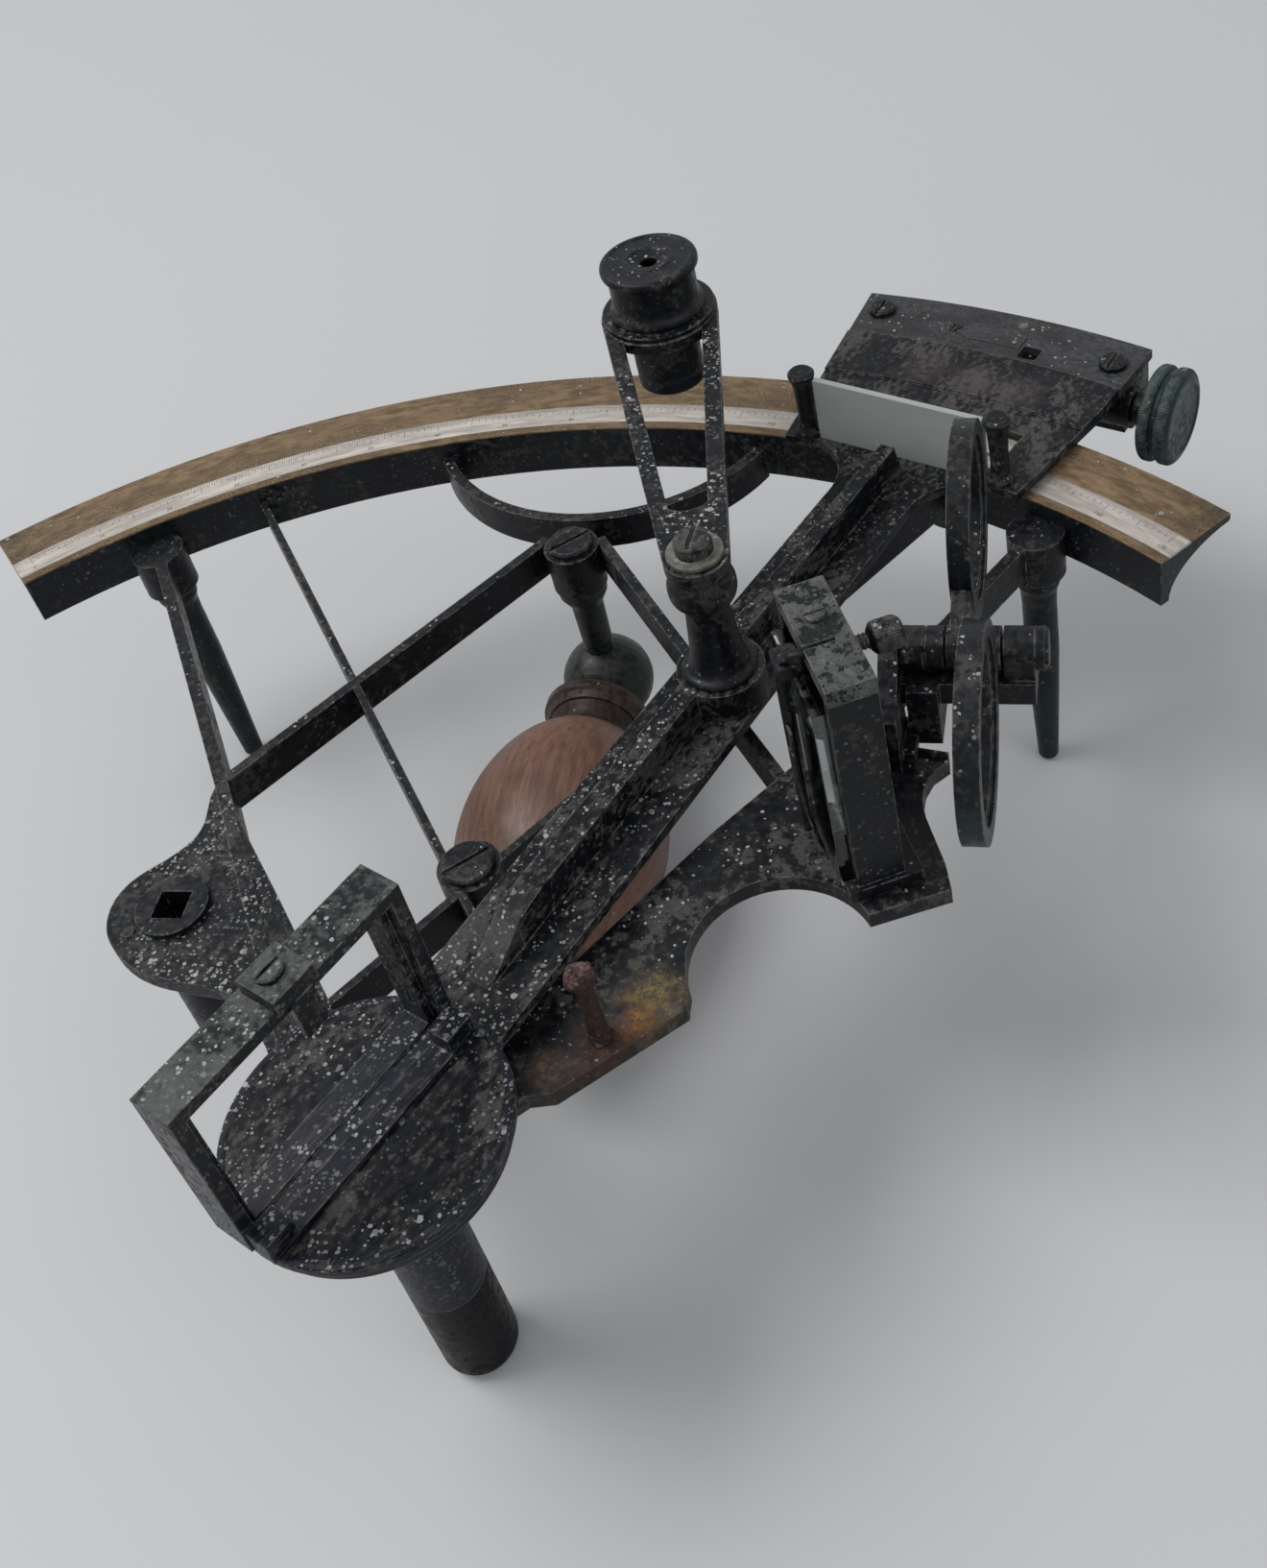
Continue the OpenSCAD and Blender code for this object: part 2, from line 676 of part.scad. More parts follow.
module shade_axle() {
  color("slategray") at_axle() rotate([0, 90, 0]) {
    translate([0, 0, -17]) cylinder(r = shade_axle_r, h = 27.5);
    translate([0, 0, -13.3]) difference() {
      cylinder(r = hub_r, h = 7.7);
      translate([0, 0, 4]) rotate_extrude() translate([hub_r - 0.2, 0]) square([1, 0.5]);
    }
    translate([0, 0, 10.5]) rotate([0, 0, 90]) slotted_head(hub_r, 2.4, 0.9, 0.8);
  }
}

// A shade's ring with its arm and hub; x is the near face, a the angle of the arm
module shade(x, a) {
  at_axle() rotate([a, 0, 0]) translate([x, 0, 0]) difference() {
    union() {
      rotate([0, 90, 0]) cylinder(r = hub_r, h = ring_t);
      translate([0.4, 0, -3.4]) cube([ring_t - 0.8, shade_reach - shade_bore_r - 1, 6.8]);
      translate([0, shade_reach, 0]) rotate([0, 90, 0]) cylinder(r = shade_r, h = ring_t, $fn = 96);
    }
    translate([-1, 0, 0]) rotate([0, 90, 0]) cylinder(r = shade_axle_r + run_gap, h = ring_t + 2);
    translate([-1, shade_reach, 0]) rotate([0, 90, 0]) cylinder(r = shade_bore_r, h = ring_t + 2, $fn = 96);
    translate([ring_t - 0.9, shade_reach, 0]) rotate([0, 90, 0]) cylinder(r = shade_bore_r + 1.6, h = 2, $fn = 96);
  }
}
module upper_shade() { color("slategray") shade(upper_ring_x, upper_shade_angle); }
module lower_shade() { color("slategray") shade(lower_ring_x, lower_shade_angle); }

module plate_stud() {
  color("saddlebrown") translate([stud_xy[0], stud_xy[1], frame_top]) {
    translate([0, 0, -plate_t - 1]) cylinder(r = 1.5, h = plate_t + 17);
    translate([0, 0, 16]) slotted_head(2.7, 2.2, 0.7, 0.8);
  }
}

// Index arm: disc, tapered plate with a rib, flared end plate with a window
module arm_outline() {
  polygon([[15, arm_w / 2], [60, arm_w / 2], [flare_x + 4, arm_w_end / 2], [flare_x + 4, -arm_w_end / 2],
           [60, -arm_w / 2], [15, -arm_w / 2]]);
  difference() {
    translate([flare_x - 2, -24]) square([sector_r0 - flare_x + 5, 48]);
    for (s = [-1, 1]) translate([flare_x - 1.6, s * (arm_w_end / 2 + flare_r)]) circle(r = flare_r);
    for (s = [-1, 1]) translate([flare_x - 22, s * (arm_w_end / 2 + 14) - 14]) square([20.4, 28]);
  }
}
module right_edge_cut() {
  translate([195.3, -32.2, arm_low - 1]) rotate([0, 0, -3.1]) translate([-5, -12, 0]) cube([60, 12, 6]);
}
module index_arm() {
  color("dimgray") at_arm() difference() {
    union() {
      translate([0, 0, arm_low]) cylinder(r = disc_r, h = arm_t - 0.8, $fn = 96);
      translate([0, 0, arm_top - 0.8]) cylinder(r1 = disc_r, r2 = disc_r - 1.2, h = 0.8, $fn = 96);
      translate([0, 0, arm_low]) linear_extrude(arm_t) arm_outline();
      ring_part(sector_r0, sector_r1, -sector_half, sector_half, arm_low, arm_t);
      ring_part(strip_r0, sector_r1, -sector_half, sector_half, arm_low, arm_t + strip_rise);
      intersection() {
        rotate([90, 0, 0]) translate([0, 0, -5]) linear_extrude(10)
          polygon([[28, arm_top - 0.5], [40, rib_top - 0.8], [46, rib_top], [172, rib_top], [174, arm_top - 0.5]]);
        translate([0, 0, arm_top - 1]) linear_extrude(rib_h + 2)
          polygon([[28, 2.6], [174, 1.6], [174, -1.6], [28, -2.6]]);
      }
      translate([post_x, post_y, arm_top - 0.5]) cylinder(r = magnifier_boss_r, h = rib_h + 0.5);
    }
    rotate([0, 0, -window_half]) rotate_extrude(angle = 2 * window_half, $fn = 180)
      translate([window_r0, arm_low - 1]) square([window_r1 - window_r0, arm_t + 2]);
    translate([0, 0, arm_low - 1]) cylinder(r = 3 + run_gap, h = arm_t + 2);
    translate([post_x, post_y, arm_top + 1]) cylinder(r = spigot_r + run_gap, h = rib_h + 2);
    right_edge_cut();
  }
}
module index_axis() {
  color("gray") {
    translate([0, 0, axis_low]) cylinder(r = axis_r, h = arm_low - axis_low);
    translate([0, 0, arm_low]) cylinder(r = 3, h = arm_t);
    translate([0, 0, axis_low - 6]) cylinder(r = 2, h = 6);
  }
}
module axis_washer() {
  color("gray") translate([0, 0, axis_low - 1.3]) difference() {
    cylinder(r = axis_r + 0.5, h = 1.3 - seam);
    translate([0, 0, -1]) cylinder(r = 2 + run_gap, h = 4);
  }
}
module axis_nut() {
  color("gray") translate([0, 0, axis_low - 4.9]) difference() {
    cylinder(r = 4.2, h = 3.5, $fn = 6);
    translate([0, 0, -1]) cylinder(r = 2 + run_gap, h = 6);
  }
}
module vernier() {
  color("silver") at_arm()
    ring_part(arc_r1 - 0.4, window_r1 + 3, -window_half - 0.8, window_half + 0.8, arm_low - vernier_t, vernier_t - seam);
}
module screen_posts() {
  color("dimgray") at_arm() for (s = [-1, 1]) translate(concat(polar(screen_x, s * screen_half), arm_top))
    rotate_extrude() polygon([[0, 0], [2.9, 0], [2.9, 1.2], [2.1, 2.4], [1.9, 6], [2.2, 13], [2.9, 15.4],
      [2.9, screen_h], [2.3, screen_h + 0.6], [0, screen_h + 0.6]]);
}
module screen_glass() {
  half = screen_x * sin(screen_half) - 3.1;
  x = screen_x * cos(screen_half);
  color("gainsboro") at_arm() translate([x - 0.7, -half, arm_top]) cube([1.4, 2 * half, screen_h - 0.8]);
}

// Frame of the index glass, empty, and what holds it to the disc
module mirror_frame() {
  color("slategray") at_arm() rotate([0, 0, mirror_turn]) translate([-mirror_l / 2 - 1.2, 0, arm_top]) difference() {
    cube([mirror_l, mirror_d, mirror_h]);
    translate([mirror_t, -1, 1.6]) cube([mirror_l - 2 * mirror_t, mirror_d + 2, mirror_h - mirror_t - 1.6]);
    translate([mirror_t - 1.4, -1, 1]) cube([mirror_l - 2 * mirror_t + 2.8, 3.6, mirror_h - mirror_t - 1 + 1.4]);
  }
}
module mirror_clip() {
  color("gray") at_arm() rotate([0, 0, mirror_turn]) translate([0, 0, arm_top]) {
    translate([-4, -1.2, mirror_h]) cube([8, 8.2, 3]);
    translate([-0.4, 3.4, mirror_h + 3]) slotted_head(2.4, 1.2, 0.7, 0.6);
    translate([-1.9, -1.4, mirror_h - 8]) cube([4.4, 1.3, 8]);
  }
}
module mirror_feet() {
  color("dimgray") at_arm() rotate([0, 0, mirror_turn]) translate([-1.2, -4.6, arm_top]) {
    translate([-mirror_l / 2 + 0.4, 0, 0]) cube([mirror_l - 0.8, 4.5, 1]);
    for (x = [-mirror_l / 2 + 0.4, mirror_l / 2 - 6]) translate([x, 0, 0]) cube([5.6, 4.5, 4.6]);
  }
}

module magnifier_post() {
  top = yoke_z - rib_top;
  color("dimgray") at_arm() translate([post_x, post_y, rib_top]) rotate_extrude() polygon([[0, 0 - spigot_l],
    [spigot_r, -spigot_l], [spigot_r, 0], [7, 0], [7.2, 0.8], [6, 1.6], [5.4, 3], [4.9, 6], [4.4, top - 13],
    [4.1, top - 10], [4.6, top - 8], [6, top - 6.8], [6.4, top - 4.4], [6.2, top - 2.4], [5.4, top - move_gap],
    [1.5, top - move_gap], [1.5, top + yoke_t + 0.8], [0, top + yoke_t + 0.8]]);
}
module drive_lug() {
  top = arm_low - move_gap;
  color("gray") at_arm() difference() {
    union() {
      translate([209.5, lug_y0, tangent_z - 5]) cube([14, lug_y1 - lug_y0, top - tangent_z + 5]);
      translate([209.5, lug_y0, top - 0.1]) cube([6, lug_y1 - lug_y0, move_gap + 0.1]);
    }
    translate([tangent_x, lug_y1 + 1, tangent_z]) rotate([90, 0, 0]) cylinder(r = tangent_r + 0.4, h = lug_y1 - lug_y0 + 2);
  }
}

// Clamp that grips the limb, with the cover and the bearing of the tangent screw
module clamp_cover() {
  color("slategray") at_arm() difference() {
    ring_part(cover_r0, cover_r1, -sector_half, sector_half, arm_low, arm_t);
    translate([cover_r0 + 0.8, -11.6, arm_low - 1]) cube([4.4, 4.6, arm_t + 2]);
    right_edge_cut();
  }
}
module cover_screws() {
  color("gray") at_arm() {
    translate(concat(polar(226, 7.7), arm_top)) slotted_head(3.1, 1.8, 0.8, 0.7);
    translate(concat(polar(224, -7.3), arm_top)) slotted_head(3.1, 1.8, 0.8, 0.7);
    translate(concat(polar(224, 2.8), arm_top)) slotted_head(1.5, 0.8, 0.5, 0.4);
  }
}
module clamp_frame() {
  top = arm_low - seam;
  color("dimgray") at_arm() difference() {
    union() {
      for (s = [-1, 1]) translate([block_x0 + 9, s > 0 ? block_y0 : -block_y1, block_low])
        cube([block_x1 - block_x0 - 9, block_y1 - block_y0, top - block_low]);
      translate([block_x1 - clamp_wall_t, -block_y1, block_low]) cube([clamp_wall_t, 2 * block_y1, top - block_low]);
      translate([block_x1 - clamp_wall_t, -clamp_half, shoe_z - shoe_t])
        cube([clamp_wall_t, 2 * clamp_half, block_low - shoe_z + shoe_t + 1]);
      translate([clamp_x - 5, -clamp_half, shoe_z - shoe_t])
        cube([block_x1 - clamp_x + 5, 2 * clamp_half, shoe_t]);
      translate([front_x0, -clamp_half, shoe_z - 0.1]) cube([front_x1 - front_x0, 2 * clamp_half, jaw_top - shoe_z]);
      translate([tangent_x, barrel_y0, tangent_z]) rotate([90, 0, 0]) cylinder(r = barrel_r, h = barrel_y0 - barrel_y1);
    }
    translate([tangent_x, -block_y0 + 1, tangent_z]) rotate([90, 0, 0])
      cylinder(r = tangent_r + run_gap, h = block_y0 - barrel_y1);
    translate([clamp_x, 0, shoe_z - shoe_t - 1]) cylinder(r = 2.5 + run_gap, h = shoe_t + 2);
  }
}
module clamp_jaw() {
  color("gray") at_arm() translate([jaw_x0, -clamp_half + 1, jaw_top - jaw_h])
    cube([front_x0 - move_gap - jaw_x0, 2 * clamp_half - 2, jaw_h]);
}
module clamp_screw() {
  color("slategray") at_arm() translate([clamp_x, 0, shoe_z - shoe_t]) {
    top = jaw_top - jaw_h - move_gap - shoe_z + shoe_t;
    translate([0, 0, -2]) cylinder(r = 2.5, h = top + 2);
    translate([0, 0, -9]) difference() {
      cylinder(r = 7, h = 7);
      for (a = [0:30:330]) rotate([0, 0, a]) translate([7.3, 0, -1]) cylinder(r = 0.8, h = 9, $fn = 16);
    }
  }
}
module tangent_screw() {
  color("slategray") at_arm() translate([tangent_x, 0, tangent_z]) rotate([90, 0, 0]) {
    translate([0, 0, -8]) cylinder(r = tangent_r, h = -knob_y0 + 9);
    translate([0, 0, -barrel_y1 + move_gap]) cylinder(r = 3.6, h = barrel_y1 - knob_y0 - move_gap);
    difference() {
      union() {
        translate([0, 0, -knob_y0]) cylinder(r1 = tangent_knob_r - 1.6, r2 = tangent_knob_r, h = 1.2);
        translate([0, 0, -knob_y0 + 1.2]) cylinder(r = tangent_knob_r, h = knob_y0 - knob_y1 - 2.4);
        translate([0, 0, -knob_y1 - 1.2]) cylinder(r1 = tangent_knob_r, r2 = tangent_knob_r - 1.8, h = 1.2);
      }
      rotate_extrude() translate([tangent_knob_r - 1.1, -knob_y0 + 3]) square([3, 1.4]);
    }
  }
}

// Magnifier: an A-shaped yoke, its screw, and the tube, cap and lens that slide in its ring
module yoke_plan() {
  difference() {
    yoke_outline();
    translate([lens_x, 0]) circle(r = tube_r + run_gap);
    circle(r = 1.5 + run_gap);
  }
}
module yoke_outline() {
  w = 3.4;
  circle(r = yoke_end_r);
  translate([lens_x, 0]) circle(r = ring_r);
  for (s = [-1, 1]) bar2d([0, s * (yoke_end_r - w / 2)], [lens_x, s * (ring_r - w / 2)], w);
  difference() {
    translate([0, -yoke_end_r]) square([16, 2 * yoke_end_r]);
    translate([18, 0]) circle(r = 5.4);
  }
}
module magnifier_yoke() {
  color("dimgray") at_yoke() {
    translate([0, 0, yoke_z]) linear_extrude(yoke_t) yoke_plan();
    translate([lens_x, 0, yoke_z + yoke_t - 0.1]) difference() {
      cylinder(r = ring_r - 0.4, h = ring_h - yoke_t + 0.1);
      translate([0, 0, -1]) cylinder(r = tube_r + run_gap, h = 5);
    }
  }
}
module magnifier_screw() {
  color("silver") at_yoke() translate([0, 0, yoke_z + yoke_t + move_gap]) difference() {
    union() {
      cylinder(r = 5.2, h = 0.8);
      translate([0, 0, 0.8]) rotate([0, 0, -20]) slotted_head(3.5, 3.6, 0.9, 0.8);
    }
    translate([0, 0, -1]) cylinder(r = 1.5 + run_gap, h = 1.6);
  }
}
module lens_tube() {
  low = yoke_z - tube_l;
  top = yoke_z + ring_h + move_gap;
  color("dimgray") at_yoke() translate([lens_x, 0, 0]) difference() {
    union() {
      translate([0, 0, low]) cylinder(r = tube_r, h = top - low + 1);
      translate([0, 0, top]) rotate_extrude() polygon([[0, 0], [drum_r, 0], [drum_r, 0.6], [drum_r - 0.4, 1.4],
        [neck_r, 2.8], [neck_r, drum_h - 0.8], [neck_r + 0.4, drum_h], [0, drum_h]]);
    }
    translate([0, 0, low - 1]) cylinder(r = tube_r - 1.1, h = top - low + drum_h + 3);
  }
}
module lens_cap() {
  z = yoke_z + ring_h + move_gap + drum_h;
  color("slategray") at_yoke() translate([lens_x, 0, z]) difference() {
    rotate_extrude() polygon([[0, seam], [drum_r, seam], [drum_r + 0.2, 0.6], [drum_r + 0.2, 1.4], [drum_r - 0.8, cap_h],
      [7.4, cap_h], [6.6, cap_h - 0.7], [3, cap_h - 0.4], [0, cap_h - 0.4]]);
    translate([0, 0, -1]) cylinder(r = 1.6, h = 5);
  }
}
module lens_glass() {
  color("lightsteelblue") at_yoke() translate([lens_x, 0, yoke_z - tube_l + 2])
    cylinder(r = tube_r - 1.1 - run_gap, h = 2.4);
}

limb();
arc_scale();
side_bars();
diagonals();
struts();
arch_brace();
upper_boss();
lower_boss();
ear_plate();
lower_plate();
pivot_disc();
left_leg();
right_leg();
pivot_foot();
upper_handle_post();
lower_handle_post();
upper_ferrule();
lower_ferrule();
handle_grip();
handle_rod();
boss_screws();
telescope_bush();
rise_tube();
rise_screw();
ear_pin();
horizon_holder();
horizon_glass();
horizon_clip();
horizon_rod();
horizon_adjuster();
shade_bracket();
shade_axle();
upper_shade();
lower_shade();
plate_stud();
index_arm();
index_axis();
axis_washer();
axis_nut();
vernier();
screen_posts();
screen_glass();
mirror_frame();
mirror_clip();
mirror_feet();
magnifier_post();
drive_lug();
clamp_cover();
clamp_frame();
cover_screws();
clamp_jaw();
clamp_screw();
tangent_screw();
magnifier_yoke();
magnifier_screw();
lens_tube();
lens_cap();
lens_glass();
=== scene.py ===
"""Looks of a vernier sextant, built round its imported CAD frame.

Lengths are in metres, and in millimetres where a docstring says so. The index arm turns about the
Z axis, the table is Z = 0 and the limb lies towards +Y. Nothing here moves a CAD node: pieces stand
where the CAD says and ride on its bodies.
"""
import logging
import math
from dataclasses import dataclass, replace
from enum import Enum
from typing import Dict, List, Optional, Sequence, Tuple

import bmesh
import bpy
import numpy as np
from mathutils import Matrix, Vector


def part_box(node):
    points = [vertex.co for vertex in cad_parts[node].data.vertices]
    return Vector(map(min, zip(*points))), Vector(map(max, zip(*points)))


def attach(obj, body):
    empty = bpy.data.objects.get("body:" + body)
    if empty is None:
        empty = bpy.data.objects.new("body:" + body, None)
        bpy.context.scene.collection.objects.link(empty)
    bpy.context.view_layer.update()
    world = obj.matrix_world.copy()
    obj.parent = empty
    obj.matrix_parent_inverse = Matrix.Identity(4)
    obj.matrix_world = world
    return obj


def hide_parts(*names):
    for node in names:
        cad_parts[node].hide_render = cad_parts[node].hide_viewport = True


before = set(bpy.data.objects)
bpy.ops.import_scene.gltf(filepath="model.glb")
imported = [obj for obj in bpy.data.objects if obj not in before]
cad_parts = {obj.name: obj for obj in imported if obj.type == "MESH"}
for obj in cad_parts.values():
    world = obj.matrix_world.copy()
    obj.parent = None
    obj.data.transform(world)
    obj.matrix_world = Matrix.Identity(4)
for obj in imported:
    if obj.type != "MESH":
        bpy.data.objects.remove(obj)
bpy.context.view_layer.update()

LOG = logging.getLogger("sextant")
Array = np.ndarray
Triple = Tuple[float, float, float]
Socket = bpy.types.NodeSocket
MM = 0.001
# Levels of the limb's face and the arm's face, and the arm's direction from +X
LIMB_TOP = 72.0
ARM_TOP = 75.0
ARM_TURN = 66.3
# Points on a bent strip's path, and round its section
PATH_POINTS = 40
STRIP_SIDES = 16


# Places and meshes


@dataclass(frozen=True)
class Seat:
    """A place on the instrument: an origin in millimetres and a turn about Z in degrees."""

    origin: Triple = (0.0, 0.0, 0.0)
    turn: float = 0.0

    def out(self, points: Array) -> Array:
        """Turn local points in millimetres into frame points in metres.

        Args:
            points: Array of shape (n, 3), in the seat's own directions.

        Returns:
            The same points as p' = origin + R(turn) p, in metres.
        """
        a = math.radians(self.turn)
        turned = np.array([[math.cos(a), math.sin(a), 0], [-math.sin(a), math.cos(a), 0], [0, 0, 1]])
        return (np.asarray(points, float) @ turned + np.array(self.origin)) * MM

    def inner(self, x: float, y: float, z: float, turn: float = 0.0) -> "Seat":
        """A seat given in this seat's directions, with its own extra turn."""
        x0, y0, z0 = self.out(np.array([[x, y, z]]))[0] / MM
        return Seat((x0, y0, z0), self.turn + turn)


TABLE = Seat()
ARM = Seat(turn=ARM_TURN)
YOKE = ARM.inner(103.0, -2.2, 0.0, 38.7)
HORIZON = Seat((70.5, 65.0, 0.0), 25.2)


class Along(Enum):
    """Directions of a turned piece in its seat: side, up and axis."""

    UP = ((1, 0, 0), (0, 1, 0), (0, 0, 1))
    X = ((0, 1, 0), (0, 0, 1), (1, 0, 0))
    Y = ((0, 0, 1), (1, 0, 0), (0, 1, 0))
    BACK_Y = ((1, 0, 0), (0, 0, 1), (0, -1, 0))


def grid_faces(rows: int, cols: int, close_rows: bool, close_cols: bool) -> Array:
    """Quads that join a grid of points numbered row by row.

    Args:
        rows: Number of rows of points.
        cols: Number of points in a row.
        close_rows: Whether the last row joins the first.
        close_cols: Whether a row's last point joins its first.

    Returns:
        Array of shape (faces, 4) of point numbers.
    """
    i = np.arange(rows if close_rows else rows - 1)[:, None]
    j = np.arange(cols if close_cols else cols - 1)[None, :]
    k, m = (i + 1) % rows, (j + 1) % cols
    corners = (i * cols + j, i * cols + m, k * cols + m, k * cols + j)
    return np.stack([c.ravel() for c in corners], axis=1)


def mesh_object(name: str, points: Array, faces: Sequence[Sequence[int]],
                crease: float = 35.0) -> bpy.types.Object:
    """Make an object whose place is in its mesh, with doubles merged and faces turned outwards.

    Args:
        name: Name of the piece.
        points: Array of shape (n, 3) in metres.
        faces: Faces as point numbers.
        crease: Angle in degrees above which an edge stays sharp.

    Returns:
        The new object, linked to the scene.
    """
    mesh = bpy.data.meshes.new(name)
    mesh.from_pydata(np.asarray(points, float).tolist(), [], [list(map(int, f)) for f in faces])
    work = bmesh.new()
    work.from_mesh(mesh)
    bmesh.ops.remove_doubles(work, verts=work.verts, dist=1e-7)
    bmesh.ops.recalc_face_normals(work, faces=work.faces)
    work.to_mesh(mesh)
    work.free()
    mesh.polygons.foreach_set("use_smooth", np.ones(len(mesh.polygons), bool))
    mesh.set_sharp_from_angle(angle=math.radians(crease))
    made = bpy.data.objects.new(name, mesh)
    bpy.context.scene.collection.objects.link(made)
    return made


def rounded(profile: Array, cut: float, closed: bool = False, steps: int = 4) -> Array:
    """Round a profile's corners, each with a quadratic curve between two cut points.

    At a corner b between a and c the curve is (1-t)^2 p + 2t(1-t) b + t^2 q, where p and q lie
    at most cut away from b towards a and c.

    Args:
        profile: Array of shape (n, k), one row a point.
        cut: Longest distance from a corner to its cut points, in millimetres.
        closed: Whether the last point joins the first.
        steps: Number of spans in each curve.

    Returns:
        The rounded profile, of shape (m, k).
    """
    p = np.asarray(profile, float)
    t = np.linspace(0, 1, steps + 1)[None, :, None]

    def towards(step: Array) -> Array:
        """The cut point on the way along a step, at most 42% of it away."""
        length = np.linalg.norm(step[:, :2], axis=1, keepdims=True) + 1e-9
        return p + step * np.minimum(cut / length, 0.42)

    start, end = towards(np.roll(p, 1, 0) - p), towards(np.roll(p, -1, 0) - p)
    curve = (1 - t) ** 2 * start[:, None] + 2 * t * (1 - t) * p[:, None] + t ** 2 * end[:, None]
    if closed:
        return curve.reshape(-1, p.shape[1])
    return np.vstack([p[:1], curve[1:-1].reshape(-1, p.shape[1]), p[-1:]])


def rings(radius: Array, height: Array, along: Along) -> Array:
    """Points on rings about an axis: P(i, v) = radius(i, v) (cos v side + sin v up) + height(i) axis.

    Args:
        radius: Array of shape (rings, sides), in millimetres.
        height: Array of shape (rings,), in millimetres.
        along: Direction of the axis.

    Returns:
        Array of shape (rings * sides, 3), ring by ring.
    """
    v = np.linspace(0, 2 * math.pi, radius.shape[1], endpoint=False)[None, :, None]
    side, up, axis = (np.array(d, float) for d in along.value)
    points = radius[..., None] * (np.cos(v) * side + np.sin(v) * up) + height[:, None, None] * axis
    return points.reshape(-1, 3)


def turned(name: str, profile: Sequence[Sequence[float]], seat: Seat, along: Along = Along.UP,
           cut: float = 0.3, closed: bool = False, sides: int = 96, teeth: int = 0, depth: float = 0.0,
           lump: float = 0.0) -> bpy.types.Object:
    """Turn a profile about an axis, as on a lathe, with an optional milled edge.

    The radius at u and v is r(u) - w(u) depth |sin(teeth v / 2)| + lump b(u, v), where r, h and w are
    the profile's radius, height and share of milling at u. The lumps are
    b = (sin(5 v + 2.1 h) + sin(3 v - 2.9 h) + sin(8 v + 4.3 h)) / 3, fading to nothing on the axis.

    Args:
        name: Name of the piece.
        profile: Rows of radius, height and, if milled, the share of milling, in millimetres.
        seat: Where the axis starts.
        along: Direction of the axis in the seat.
        cut: Rounding of the profile's corners.
        closed: Whether the profile is a ring's section rather than a line from pole to pole.
        sides: Points round the axis.
        teeth: Number of milled teeth.
        depth: Depth of the milling.
        lump: Height of the lumps, as on rust.

    Returns:
        The turned piece.
    """
    rows = np.asarray(profile, float)
    if rows.shape[1] == 2:
        rows = np.hstack([rows, np.zeros((len(rows), 1))])
    rows = rounded(rows, cut, closed)
    v = np.linspace(0, 2 * math.pi, sides, endpoint=False)
    radius = rows[:, :1] - rows[:, 2:3] * depth * np.abs(np.sin(teeth * v[None, :] / 2))
    if lump:
        h = rows[:, 1:2]
        bumps = np.sin(5 * v + 2.1 * h) + np.sin(3 * v - 2.9 * h) + np.sin(8 * v + 4.3 * h)
        radius = radius + lump / 3 * bumps * np.minimum(rows[:, :1], 1.0)
    faces = grid_faces(len(rows), sides, closed, True)
    return mesh_object(name, seat.out(rings(radius, rows[:, 1], along)), faces)


def screw_thread(name: str, radius: float, pitch: float, depth: float, low: float, high: float,
                 seat: Seat, along: Along, sides: int = 48, steps: int = 8) -> bpy.types.Object:
    """Cut a screw thread on a plain shaft.

    The radius at height h and angle v is radius - depth |sin(pi (h / pitch - v / 2 pi))|.

    Args:
        name: Name of the piece.
        radius: Outer radius in millimetres.
        pitch: Rise of one turn.
        depth: Depth of the groove.
        low: Where the thread starts on the axis.
        high: Where it ends.
        seat: Where the axis starts.
        along: Direction of the axis in the seat.
        sides: Points round the axis.
        steps: Rings of points in one turn's rise.

    Returns:
        The threaded piece, closed at both ends.
    """
    h = np.linspace(low, high, int((high - low) / pitch * steps) + 2)
    v = np.linspace(0, 2 * math.pi, sides, endpoint=False)
    r = radius - depth * np.abs(np.sin(math.pi * (h[:, None] / pitch - v[None, :] / (2 * math.pi))))
    r[0] = r[-1] = 0.0
    h[0], h[-1] = h[1], h[-2]
    return mesh_object(name, seat.out(rings(r, h, along)), grid_faces(len(h), sides, False, True), 50)


def box_set(name: str, centres: Array, along: Array, sizes: Array, cut: float = 0.0) -> bpy.types.Object:
    """Make small level boxes as one piece.

    Args:
        name: Name of the piece.
        centres: Array of shape (n, 3) in metres.
        along: Array of shape (n, 2), each box's direction in plan, as a unit vector.
        sizes: Array of shape (n, 3): length, width and height in metres.
        cut: Width of the bevel on the edges, in millimetres.

    Returns:
        One object that holds every box.
    """
    corner = np.array([[x, y, z] for z in (-0.5, 0.5) for y in (-0.5, 0.5) for x in (-0.5, 0.5)])
    first = np.column_stack([along, np.zeros(len(along))])
    second = np.column_stack([-along[:, 1], along[:, 0], np.zeros(len(along))])
    third = np.tile([0.0, 0.0, 1.0], (len(along), 1))
    local = corner[None] * sizes[:, None, :]
    points = (centres[:, None] + local[..., :1] * first[:, None] + local[..., 1:2] * second[:, None]
              + local[..., 2:] * third[:, None])
    quads = np.array([[0, 2, 3, 1], [4, 5, 7, 6], [0, 1, 5, 4], [2, 6, 7, 3], [0, 4, 6, 2], [1, 3, 7, 5]])
    faces = quads[None] + 8 * np.arange(len(centres))[:, None, None]
    made = mesh_object(name, points.reshape(-1, 3), faces.reshape(-1, 4))
    if cut:
        bevel = made.modifiers.new("rounding", "BEVEL")
        bevel.width, bevel.segments = cut * MM, 3
    return made


